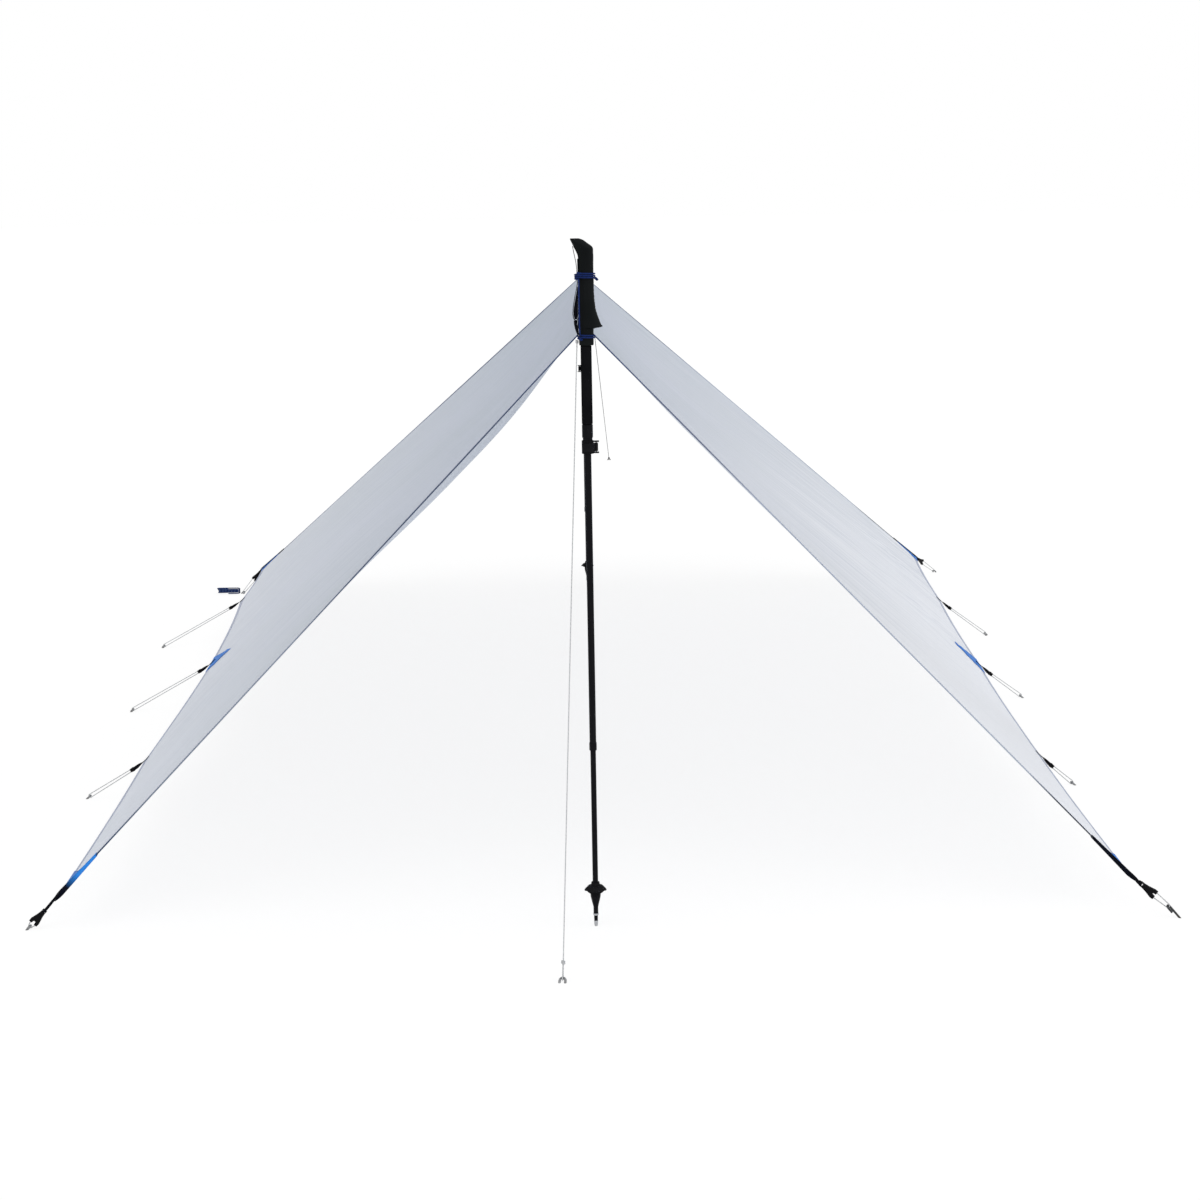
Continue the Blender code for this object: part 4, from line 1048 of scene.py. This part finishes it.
def webbing_finish(name, light, far=None):
    """Black, woven in two tones. A piece that starts in another colour changes over near its end."""
    recipe = Recipe(name, Specular_IOR_Level=0.02)
    along, across, _ = recipe.lengths()
    weft = abs((along * (math.pi / (1.1 * MM))).sine())
    warp = abs((across * (math.pi * 14)).sine())
    weave = weft * warp
    worn = recipe.noise(45, 3)
    tone = recipe.between(weave * worn, (0.003, 0.003, 0.005), light)
    if far:
        # It changes over between 45 and 76 mm from its start
        tone = recipe.between(along * 33 - 1.5, far, tone)
    return recipe.set(
        Base_Color=tone,
        Roughness=worn * 0.2 + 0.6,
        Normal=recipe.bump(weave, 0.3 * MM, 0.9),
    )


def corner_ahead(side, index):
    """A corner of the cloth and the direction of the pull in the cloth's own plane."""
    end, way = ALONG[TIE_NAMES[index]]
    corner = cloth_point(side, 1.0, end)
    beside = cloth_point(side, 1 - PATCH_ACROSS, end) + cloth_point(side, 1.0, end + way * PATCH_ALONG)
    return corner, (corner - (corner + beside) / 3).normalized()


def webbing_stations(start, ahead, out, on_cloth, matrix, at_lock):
    """From places on the cloth, with a quarter turn on the way, to places in the lock's frame."""
    sideways = matrix.col[1].to_3d()
    flat = ahead.cross(out).normalized()
    flat = flat if flat.dot(sideways) > 0 else -flat
    points = [start - ahead * reach + out * lift for reach, lift in on_cloth]
    ends = [matrix @ Vector((x, 0, z)) for x, z in at_lock]
    points += [(points[-1] + ends[0]) / 2, *ends]
    sides = [flat, flat, (flat + sideways).normalized()] + [sideways] * len(ends)
    return list(zip(eased(points, STATION_STEPS), eased(sides, STATION_STEPS)))


def corner_stations(side, index):
    """From the patch over the corner, round the lock's bar and back."""
    corner, ahead = corner_ahead(side, index)
    over, front = LOCK_THICKNESS / 2 + GAP + WEBBING / 2, LOCK_BAR + GAP + WEBBING / 2
    half = ((STRAP_BACK, over), (front - STRAP_BEND, over), (front, over - STRAP_BEND))
    loop = half + tuple((x, -z) for x, z in reversed(half))
    on_cloth = [(reach, STRAP_LIFT) for reach in STRAP_ON_CLOTH]
    out = outwards_of(side, index / BAYS)
    return webbing_stations(corner, ahead, out, on_cloth, tie_pull(side, index)[0], loop)


BLACK_WEBBING = webbing_finish("black webbing", (0.012, 0.013, 0.018))
for side, index in CORNER_TIES:
    label = tie_label(side, index)
    strap = ribbon_piece("webbing_" + label, corner_stations(side, index), STRAP_WIDTH, WEBBING)
    finished(strap, BLACK_WEBBING, "black_webbing", "corner_patch_" + label)
print("four corner straps")

# %% [markdown]
# A fold gets thicker towards the corner, runs on past it along the pull and tapers there. Its navy
# and black are painted shade, for the folds lie in shadow. The one at the front left starts in the
# blue of the patch.

# %% Folded webbing
FOLD_REACH = 0.07
FOLD_STEPS = 16
FOLD_OUT = 0.6 * MM
FOLD_WIDTH = {-1: 13 * MM, 1: 10 * MM}
FOLD_HALF = {-1: (2.2 * MM, 4.6 * MM), 1: (2.4 * MM, 4.2 * MM)}
FOLD_PAST = {-1: 0.45, 1: 0.85}
FOLD_TAPER = ((0.4, 0.92), (0.7, 0.75), (1.0, 0.5))
BLUE_FOLD_TIE = (-1, 0)


def fold_rings(side, index):
    """Sections along the cloth's end edge, getting thicker, and then past its corner, tapering."""
    rings = []
    for step in range(FOLD_STEPS + 1):
        share = step / FOLD_STEPS
        point, inwards, out = end_edge(side, 1 - FOLD_REACH * (1 - share), TIE_NAMES[index])
        half = within(*FOLD_HALF[side], share)
        rings.append(edge_ring(point - inwards * FOLD_OUT, inwards, out, FOLD_WIDTH[side], half))
    corner = rings[-1]
    middle = sum(corner, Vector()) / len(corner)
    pull = (tie_pull(side, index)[0].translation - hem_tie(side, index)).normalized()
    past = FOLD_PAST[side] * STRAP_REACH[side][CORNERS.index(index)]
    for share, taper in FOLD_TAPER:
        rings.append([middle + pull * past * share + (spot - middle) * taper for spot in corner])
    return rings


# Painted shade: the folds are painted near black, and the front left one turns from the patch's blue to it
# towards the corner
FOLD_IN_PAINTED_SHADE = webbing_finish("fold in painted shade", (0.008, 0.012, 0.030))
BLUE_FOLD_INTO_SHADE = webbing_finish("blue fold into painted shade", (0.006, 0.010, 0.030), far=(0.03, 0.21, 0.66))
for side, index in CORNER_TIES:
    fold = skin("fold_" + tie_label(side, index), fold_rings(side, index))
    if (side, index) == BLUE_FOLD_TIE:
        finished(fold, BLUE_FOLD_INTO_SHADE, "blue_webbing")
    else:
        finished(fold, FOLD_IN_PAINTED_SHADE, "black_webbing")
print("a fold at each of the", len(CORNER_TIES), "corners")

# %% [markdown]
# The six side ties are small: a tab of webbing folded over the hem, and a moulded toggle that
# grips the cord. The middle tie of each side has a blue patch behind its tab.

# %% Side ties
TAB_WIDTH = 7 * MM
TOGGLE_HALF = 4.4 * MM
TOGGLE_SECTIONS = (
    (0, 0.62, 0.5), (0.03, 0.84, 0.8), (0.16, 1.0, 1.0), (0.45, 0.96, 0.92), (0.85, 0.86, 1.0),
    (0.97, 0.78, 0.8), (1, 0.6, 0.5),
)
TOGGLE_SIDES, TOGGLE_POWER = 20, 0.55
TAB_ON_CLOTH, TAB_IN_LOCK = (18 * MM, 0.5 * MM), (-3 * MM, 3 * MM)
TAB_LIFT, TAB_LIFT_ON_PATCH = 1.9 * MM, 2.6 * MM
SIDE_PATCH_HALF, SIDE_PATCH_UP = 0.024, 0.07
SIDE_PATCH_LEAN = {-1: -0.028, 1: 0.0}
SIDE_PATCH_COLUMNS = 12


def moulded(name, colour, grain, roughness, bump=0.1):
    """Black moulded plastic: fine texture, and a slightly paler tone where it is rubbed."""
    recipe = Recipe(name, Specular_IOR_Level=0.05)
    fine, broad = recipe.noise(900, 2), recipe.noise(30, 4)
    return recipe.set(
        Base_Color=recipe.between(broad, colour, grain),
        Roughness=broad * 0.25 + fine * 0.1 + (roughness - 0.15),
        Normal=recipe.bump(fine, bump * MM, 0.5),
    )


def toggle_piece(name, matrix):
    """A rounded block. Its sections are shares of its length, width and thickness."""
    rings = []
    for share, half, thick in TOGGLE_SECTIONS:
        wide, high = TOGGLE_HALF * half, LOCK_THICKNESS / 2 * thick
        outline = [rounded(turn, TOGGLE_POWER) for turn in around(TOGGLE_SIDES)]
        x = share * TOGGLE_LENGTH
        rings.append([matrix @ Vector((x, wide * across, high * up)) for across, up in outline])
    return skin(name, rings)


def tab_stations(side, index, matrix):
    here = index / BAYS
    hem, above = cloth_point(side, 1.0, here), cloth_point(side, 1 - SIDE_PATCH_UP, here)
    lift = TAB_LIFT_ON_PATCH if index == MIDDLE_TIE else TAB_LIFT
    on_cloth = [(reach, lift) for reach in TAB_ON_CLOTH]
    ends = [(x, 0) for x in TAB_IN_LOCK]
    return webbing_stations(hem, (hem - above).normalized(), outwards_of(side, here), on_cloth, matrix, ends)


def side_patch(side, index):
    here = index / BAYS

    def spot_of(row, column):
        up, place = row / PATCH_STEPS, 2 * column / SIDE_PATCH_COLUMNS - 1
        along = here + SIDE_PATCH_LEAN[side] * up + SIDE_PATCH_HALF * place * (1 - up) ** 0.8
        point = sheet_point(side, 1 - SIDE_PATCH_UP * up, along, PATCH_LIFT)
        return point, (up * SIDE_PATCH_UP * SLOPE, (along - here) * RIDGE_LENGTH)
    return grid_piece("patch_" + tie_label(side, index), PATCH_STEPS, SIDE_PATCH_COLUMNS, spot_of)


LOCK_PLASTIC = moulded("lock plastic", (0.002, 0.002, 0.003), (0.007, 0.007, 0.008), 0.45)
for side, index in TIES:
    if index in CORNERS:
        continue
    label = tie_label(side, index)
    matrix, _, _ = tie_pull(side, index)
    finished(toggle_piece("toggle_" + label, matrix), LOCK_PLASTIC, "black_plastic", "tieout_" + label)
    tab = ribbon_piece("tab_" + label, tab_stations(side, index, matrix), TAB_WIDTH, WEBBING)
    finished(tab, BLACK_WEBBING, "black_webbing")
    if index == MIDDLE_TIE:
        sewn_on(side_patch(side, index), side, index)
print("six side ties")

# %% [markdown]
# The grip is moulded rubber. A smooth curve runs through its sections, and shallow grooves are
# pressed into its front, where the fingers lie. They are part of the shape, because they catch
# the light along the outline, which a bump pattern can't do.

# %% Grips
GRIP_SIDES = 64
GRIP_STEPS = 10
GROOVE_DEPTH = 0.45
GROOVE_PITCH = 5.2
GROOVE_SPAN = (40, 100)
GRIP_BORE, GRIP_BORE_DEPTH = 6.8 * MM + GAP, 118 * MM + GAP


def bore_rings(end):
    """The grip is hollow, so that the pole's sections can slide up inside it."""
    circle = [Vector((math.cos(turn), math.sin(turn), 0)) * GRIP_BORE for turn in around(GRIP_SIDES)]
    heights = (HANDLE_FOOT + GRIP_BORE_DEPTH, HANDLE_FOOT)
    return [[pole_frame(end) @ (point + UP * height) for point in circle] for height in heights]


def grip_rings(end):
    rings = bore_rings(end)
    columns = [eased([section[column] for section in HANDLE_SECTIONS], GRIP_STEPS) for column in range(4)]
    for height, centre, half_x, half_y in zip(*columns):
        inside = GROOVE_SPAN[0] < height < GROOVE_SPAN[1]
        groove = GROOVE_DEPTH * max(0.0, math.sin(2 * math.pi * height / GROOVE_PITCH)) if inside else 0.0
        ring = []
        for turn in around(GRIP_SIDES):
            across, up = rounded(turn, HANDLE_POWER)
            pressed = groove * max(0.0, math.cos(turn)) ** 0.5
            spot = Vector((centre + (half_x - pressed) * across, (half_y - pressed * 0.5) * up, height))
            ring.append(pole_frame(end) @ (spot * MM + UP * HANDLE_FOOT))
        rings.append(ring)
    return rings


GRIP_RUBBER = moulded("grip rubber", (0.002, 0.003, 0.003), (0.007, 0.008, 0.009), 0.5, bump=0.2)
for end in ENDS:
    grip = skin("grip_" + end, grip_rings(end))
    finished(grip, GRIP_RUBBER, "black_rubber", "handle_" + end)
print("grips of", len(grip.data.polygons), "faces")

# %% [markdown]
# The wrist strap leaves the head under its beak, lies folded down the grip and comes back up
# under the blue cord. It is a ribbon again, through the same stations as its solid. What is left
# of its length is folded on edge at the left of the grip, inside the strap's loop and below it.

# %% Wrist straps
WRIST_WIDTH, WRIST_THICKNESS = 10 * MM, 1.0 * MM
WRIST_LAYER = WRIST_THICKNESS + 2 * GAP


def strap_layer(above_foot, layer):
    on_grip = handle_outline(above_foot * MM, 0.5).x - GAP - WRIST_THICKNESS / 2
    return (on_grip - layer * WRIST_LAYER) / MM


def wrist_stations(end):
    """All places in mm: out from the pole's axis, and above the handle's foot."""
    path = [(strap_layer(height, 0), height) for height in (136, 128, 116, 102, 78, 56, 46)]
    path += [(strap_layer(46, 0.1), 42), (strap_layer(46, 0.7), 39.5)]
    path += [(-16.8, 39.5), (-19.4, 45), (-19.8, 54), (-17.2, 72)]
    path += [(strap_layer(height, 1), height) for height in (96, 102, 116)]
    path += [(-13.0, 124), (-13.8, 131), (-15.2, 138), (-16.6, 145), (-17.7, 151), (-18.5, 156)]
    turned = pole_frame(end)
    sideways = turned.to_3x3() @ Vector((0, 1, 0))
    points = [Vector((x, 0, z)) * MM + UP * HANDLE_FOOT for x, z in path]
    return [(turned @ point, sideways) for point in eased(points, 4)]


# Height above the foot and distance out from the pole's axis, mm: inside the loop, and below it
SPARE_IN_LOOP = ((41, 17.0), (46, 18.7), (54, 18.9), (62, 17.8), (72, 15.9), (84, 13.5), (92, 12.3))
SPARE_BELOW = ((16, 13.4), (20, 15.0), (26, 17.0), (32, 18.2), (38.8, 18.9))
SPARE_HALF = 3.2 * MM
SPARE_STEPS = 12
SPARE_PARTS = (
    ("spare_strap_", SPARE_IN_LOOP, GAP + WRIST_THICKNESS), ("spare_end_", SPARE_BELOW, GAP),
)


def spare_fold(name, outline, inside, end):
    """The strap's spare length between the grip and an outline, leaving room inside."""
    rings = []
    for height, out in outline:
        near, far = handle_outline(height * MM, 0.5).x - inside, -out * MM
        middle, half = (near + far) / 2, abs(near - far) / 2
        rings.append([
            pole_frame(end) @ Vector((
                middle + half * math.cos(turn), SPARE_HALF * math.sin(turn), HANDLE_FOOT + height * MM,
            ))
            for turn in around(SPARE_STEPS)
        ])
    return skin(name + end, rings)


for end in ENDS:
    for name, outline, inside in SPARE_PARTS:
        finished(spare_fold(name, outline, inside, end), BLACK_WEBBING, "black_webbing")
    strap = ribbon_piece("strap_" + end, wrist_stations(end), WRIST_WIDTH, WRIST_THICKNESS)
    finished(strap, BLACK_WEBBING, "black_webbing", "wrist_strap_" + end)
print("two wrist straps")

# %% [markdown]
# The rigid pieces keep their solids, which have the right shape already, and get their real
# finishes: closed-cell foam, anodised tube with fine turning marks, moulded levers and baskets,
# and bare metal for the stakes.

# %% Finishes of the rigid pieces
DEEP_BLACK, WORN_BLACK = (0.003, 0.003, 0.004), (0.010, 0.010, 0.012)
TIP_TOP, RING_FOOT, RING_TOP = 0.0095, 0.0194, 0.0226
SOIL = (0.10, 0.075, 0.05)


def foam():
    recipe = Recipe("closed-cell foam", Specular_IOR_Level=0.01)
    cells = recipe.node("TexVoronoi", inputs={"Vector": recipe.place(), "Scale": 1300})
    return recipe.set(
        Base_Color=recipe.between(recipe.noise(40, 3), DEEP_BLACK, (0.008, 0.008, 0.009)),
        Roughness=cells * 0.15 + 0.8,
        Normal=recipe.bump(cells, 0.25 * MM, 0.6),
    )


def anodised(name):
    """Turning marks ring the tube, and long faint scratches run down it."""
    recipe = Recipe(name, Metallic=0.3, Specular_IOR_Level=0.05)
    _, _, height = recipe.split(recipe.place())
    marks = abs((height * (math.pi / (0.35 * MM))).sine())
    stretched = recipe.node("Mapping", inputs={"Vector": recipe.place(), "Scale": (900, 900, 12)})
    scratch = recipe.noise(1.0, 2, stretched)
    recipe.set(
        Base_Color=recipe.between(scratch, DEEP_BLACK, WORN_BLACK),
        Roughness=marks * 0.06 + scratch * 0.12 + 0.24,
        Normal=recipe.bump(marks, 0.03 * MM, 0.3),
    )
    return recipe


def pole_tip(recipe):
    """Above the tip the tube is black, then come a bright ring and the grey carbide end."""
    _, _, height = recipe.split(recipe.place())
    bright = ((height > RING_FOOT) * (height < RING_TOP)).most(height < TIP_TOP)
    scratch = recipe.noise(300, 2)
    tube = recipe.between(scratch, DEEP_BLACK, WORN_BLACK)
    metal = recipe.between(scratch, (0.30, 0.31, 0.33), (0.55, 0.56, 0.58))
    return recipe.set(Base_Color=recipe.between(bright, tube, metal), Metallic=bright * 0.5 + 0.4)


def bare_metal(name, low, high):
    """Scratched metal, with soil on it near the ground."""
    recipe = Recipe(name, Metallic=1.0)
    _, _, height = recipe.split(recipe.place())
    soil = recipe.noise(90, 4) * (height * -60 + 0.6).most(0).least(1)
    scratch = recipe.noise(700, 2)
    return recipe.set(
        Base_Color=recipe.between(soil, recipe.between(scratch, low, high), SOIL),
        Roughness=soil * 0.5 + scratch * 0.15 + 0.25,
        Normal=recipe.bump(scratch, 0.05 * MM, 0.4),
    )


FOAM = foam()
BLACK_TUBE = anodised("black tube").material
TIP_TUBE = pole_tip(anodised("tip tube"))
LEVER_PLASTIC = moulded("lever plastic", DEEP_BLACK, WORN_BLACK, 0.34)
BASKET_PLASTIC = moulded("basket plastic", DEEP_BLACK, (0.009, 0.009, 0.010), 0.5)
STAKE_METAL = bare_metal("stake metal", (0.16, 0.17, 0.18), (0.34, 0.35, 0.37))
DARK_METAL = bare_metal("dark stake metal", (0.015, 0.016, 0.018), (0.09, 0.095, 0.10))
DARK_STAKES = ("stake_front_right", "stake_ridge_rear")

finish_of = {node: STAKE_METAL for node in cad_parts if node.startswith("stake_")}
finish_of.update({node: DARK_METAL for node in DARK_STAKES})
finish_of.update({"corner_lock_" + tie_label(*tie): LOCK_PLASTIC for tie in CORNER_TIES})
for end in ENDS:
    for kind, finish in (
        ("foam_grip_", FOAM), ("upper_tube_", BLACK_TUBE), ("clamp_lever_", LEVER_PLASTIC),
        ("middle_tube_", BLACK_TUBE), ("lower_tube_", TIP_TUBE), ("basket_", BASKET_PLASTIC),
    ):
        finish_of[kind + end] = finish
for node, finish in finish_of.items():
    paint(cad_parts[node], finish)
print("finishes on", len(finish_of), "solids")

# %% [markdown]
# Stitches are the one thing here that repeats by the thousand, so Geometry Nodes lay them. A line
# of points becomes a curve, the curve is cut at an even pitch and each cut gets one small stitch,
# turned along the line. The tree ends in real geometry with its material set.

# %% Stitch tree
THREAD = Recipe("thread", Roughness=0.6, Base_Color=(0.30, 0.33, 0.42, 1)).material
BLUE_THREAD = Recipe("blue thread", Roughness=0.6, Base_Color=(0.01, 0.05, 0.22, 1)).material
STITCH_PITCH, STITCH_HALF, THREAD_HALF = 4.0 * MM, 1.35 * MM, 0.28 * MM


class Tree:
    """A Geometry Nodes tree whose nodes are all made by one method."""

    def __init__(self, name, **inputs):
        self.group = bpy.data.node_groups.new(name, "GeometryNodeTree")
        face = self.group.interface
        face.new_socket("Line", in_out="INPUT", socket_type="NodeSocketGeometry")
        self.named = {
            key: face.new_socket(key, in_out="INPUT", socket_type="NodeSocket" + kind)
            for key, kind in inputs.items()
        }
        face.new_socket("Result", in_out="OUTPUT", socket_type="NodeSocketGeometry")
        self.source = self.group.nodes.new("NodeGroupInput")
        self.target = self.group.nodes.new("NodeGroupOutput")

    def node(self, kind, settings=None, **inputs):
        node = self.group.nodes.new(kind)
        for key, item in (settings or {}).items():
            setattr(node, key, item)
        for key, item in inputs.items():
            slot = node.inputs[key.replace("_", " ")]
            if isinstance(item, bpy.types.NodeSocket):
                self.group.links.new(item, slot)
            else:
                slot.default_value = item
        return node.outputs

    def ask(self, name):
        return self.source.outputs[name]


def stitch_tree():
    tree = Tree("stitches", Pitch="Float", Length="Float", Width="Float", Seed="Int", Thread="Material")
    curve = tree.node("GeometryNodeMeshToCurve", Mesh=tree.ask("Line"))
    even = tree.node(
        "GeometryNodeResampleCurve", {"mode": "LENGTH"}, Curve=curve[0], Length=tree.ask("Pitch"),
    )
    spots = tree.node("GeometryNodeCurveToPoints", {"mode": "EVALUATED"}, Curve=even[0])
    ball = tree.node("GeometryNodeMeshIcoSphere", Radius=1.0, Subdivisions=1)
    half = tree.node("ShaderNodeCombineXYZ", X=tree.ask("Width"), Y=tree.ask("Width"), Z=tree.ask("Length"))
    stitch = tree.node("GeometryNodeTransform", Geometry=ball[0], Scale=half[0])
    uneven = tree.group.nodes.new("FunctionNodeRandomValue")
    uneven.data_type = "FLOAT"
    uneven.inputs[2].default_value, uneven.inputs[3].default_value = 0.85, 1.1
    tree.group.links.new(tree.ask("Seed"), uneven.inputs["Seed"])
    laid = tree.node(
        "GeometryNodeInstanceOnPoints", Points=spots[0], Instance=stitch[0], Rotation=spots["Rotation"],
        Scale=uneven.outputs[1],
    )
    real = tree.node("GeometryNodeRealizeInstances", Geometry=laid[0])
    soft = tree.node("GeometryNodeSetShadeSmooth", Geometry=real[0])
    done = tree.node("GeometryNodeSetMaterial", Geometry=soft[0], Material=tree.ask("Thread"))
    tree.group.links.new(done[0], tree.target.inputs[0])
    return tree


STITCHES = stitch_tree()


def sewn(name, lines, thread, pitch=STITCH_PITCH, half_length=STITCH_HALF):
    """Lays stitches along lines and keeps the result as a plain mesh."""
    points, edges = [], []
    for line in lines:
        first = len(points)
        points += [tuple(point) for point in line]
        edges += [(first + i, first + i + 1) for i in range(len(line) - 1)]
    mesh = bpy.data.meshes.new(name)
    mesh.from_pydata(points, edges, [])
    obj = bpy.data.objects.new(name, mesh)
    pieces.objects.link(obj)
    modifier = obj.modifiers.new("stitches", "NODES")
    modifier.node_group = STITCHES.group
    values = {"Pitch": pitch, "Length": half_length, "Width": THREAD_HALF, "Seed": 1, "Thread": thread}
    for key, item in values.items():
        modifier[STITCHES.named[key].identifier] = item
    bpy.context.view_layer.update()
    done = bpy.data.meshes.new_from_object(obj.evaluated_get(bpy.context.evaluated_depsgraph_get()))
    obj.modifiers.remove(modifier)
    obj.data = done
    return finished(obj, thread, "cloth")


print("stitch tree with", len(STITCHES.group.nodes), "nodes")

# %% [markdown]
# Rows of stitches follow the bound ends, the hems, both legs of the ridge tape and the inner edge
# of each corner patch. They are measured on the cloth's own formula, so they lie on it all along.

# %% Rows of stitches
END_MARGIN, SEAM_MARGIN = 2 * MM, 3 * MM
PATCH_PITCH, PATCH_STITCH_HALF = 3.2 * MM, 1.1 * MM
PATCH_ROW_AT, PATCH_ROW_LIFT = 0.95, 0.5 * MM


def along_edge(place_of, steps):
    return [place_of(step / steps) for step in range(steps + 1)]


def end_row(side, end, way):
    """A row on a bound end, near the tape's inner edge."""
    along = end + way * (TAPE_WIDTH - END_MARGIN) / RIDGE_LENGTH
    return along_edge(lambda t: sheet_point(side, within(0.01, 0.99, t), along, TAPE_HALF), 300)


def long_row(side, across, lift):
    """A row from one end of the cloth to the other."""
    return along_edge(lambda t: sheet_point(side, across, within(0.004, 0.996, t), lift), 600)


def patch_row(side, index):
    return along_edge(
        lambda t: patch_point(side, index, within(0.02, 0.98, t), PATCH_ROW_AT, PATCH_ROW_LIFT), 60,
    )


hem_place, seam_place = 1 - (HEM_WIDTH - END_MARGIN) / SLOPE, (SEAM_LEG - SEAM_MARGIN) / SLOPE
end_rows = [end_row(side, *place) for side in SIDE_NAMES for place in ALONG.values()]
long_rows = [
    long_row(side, across, lift)
    for across, lift in ((hem_place, HEM_HALF), (seam_place, SEAM_LIFT + SEAM_HALF))
    for side in SIDE_NAMES
]
patch_rows = [patch_row(*tie) for tie in CORNER_TIES]
for stitches in (
    sewn("stitches_binding", end_rows, BLUE_THREAD),
    sewn("stitches_hem", long_rows, THREAD),
    sewn("stitches_patch", patch_rows, BLUE_THREAD, PATCH_PITCH, PATCH_STITCH_HALF),
):
    print(stitches.name, len(stitches.data.polygons), "faces")

# %% [markdown]
# The floor only keeps the shadow. Seen straight on it is nearly white, as in the photograph, and
# the world behind it is white too. Lamps without a place, spread wide, light the floor evenly out to
# the horizon and give no shadow a hard edge.

# %% Floor and light
FLOOR_REACH = 40
FLOOR_WHITE = 0.85
WORLD_LIGHT, WORLD_SEEN = 0.7, 1.0
SUNS = (("key", (-0.5, -0.6, 1.0), 0.9, 50), ("fill", (0.8, -0.4, 0.7), 1.2, 60))


def make_floor():
    recipe = Recipe("floor", Roughness=0.9, Base_Color=(0.97, 0.97, 0.97, 1))
    rays = recipe.node("LightPath").socket.node.outputs
    seen = Value(recipe, rays["Is Camera Ray"])
    for kind in ("Is Glossy Ray", "Is Transmission Ray"):
        seen = seen.most(Value(recipe, rays[kind]))
    white = recipe.node("Emission", inputs={"Color": (1.0, 1.0, 1.0), "Strength": 1.0})
    recipe.blend(seen * FLOOR_WHITE, white)
    mesh = bpy.data.meshes.new("floor")
    corners = [(x * FLOOR_REACH, y * FLOOR_REACH, 0) for x, y in ((-1, -1), (1, -1), (1, 1), (-1, 1))]
    mesh.from_pydata(corners, [], [(0, 1, 2, 3)])
    floor = in_scene("floor", mesh)
    paint(floor, recipe.material)


def make_sun(name, comes_from, strength, spread):
    data = bpy.data.lights.new(name, "SUN")
    data.energy, data.angle = strength, math.radians(spread)
    turn = (-Vector(comes_from)).to_track_quat("-Z", "Y")
    in_scene(name, data).rotation_euler = turn.to_euler()


def make_world():
    """Seen directly the world is pure white. As a light it is a little weaker."""
    world = bpy.data.worlds.new("studio")
    world.use_nodes = True
    bpy.context.scene.world = world
    tree = world.node_tree
    tree.nodes.clear()
    mix, output = tree.nodes.new("ShaderNodeMixShader"), tree.nodes.new("ShaderNodeOutputWorld")
    for place, strength in ((1, WORLD_LIGHT), (2, WORLD_SEEN)):
        background = tree.nodes.new("ShaderNodeBackground")
        background.inputs["Strength"].default_value = strength
        background.inputs["Color"].default_value = (1, 1, 1, 1)
        tree.links.new(background.outputs[0], mix.inputs[place])
    rays = tree.nodes.new("ShaderNodeLightPath").outputs
    tree.links.new(rays["Is Camera Ray"], mix.inputs[0])
    tree.links.new(mix.outputs[0], output.inputs["Surface"])


make_floor()
make_world()
for sun in SUNS:
    make_sun(*sun)
bpy.context.scene.view_settings.view_transform = "Standard"
print("floor, world and two soft suns")
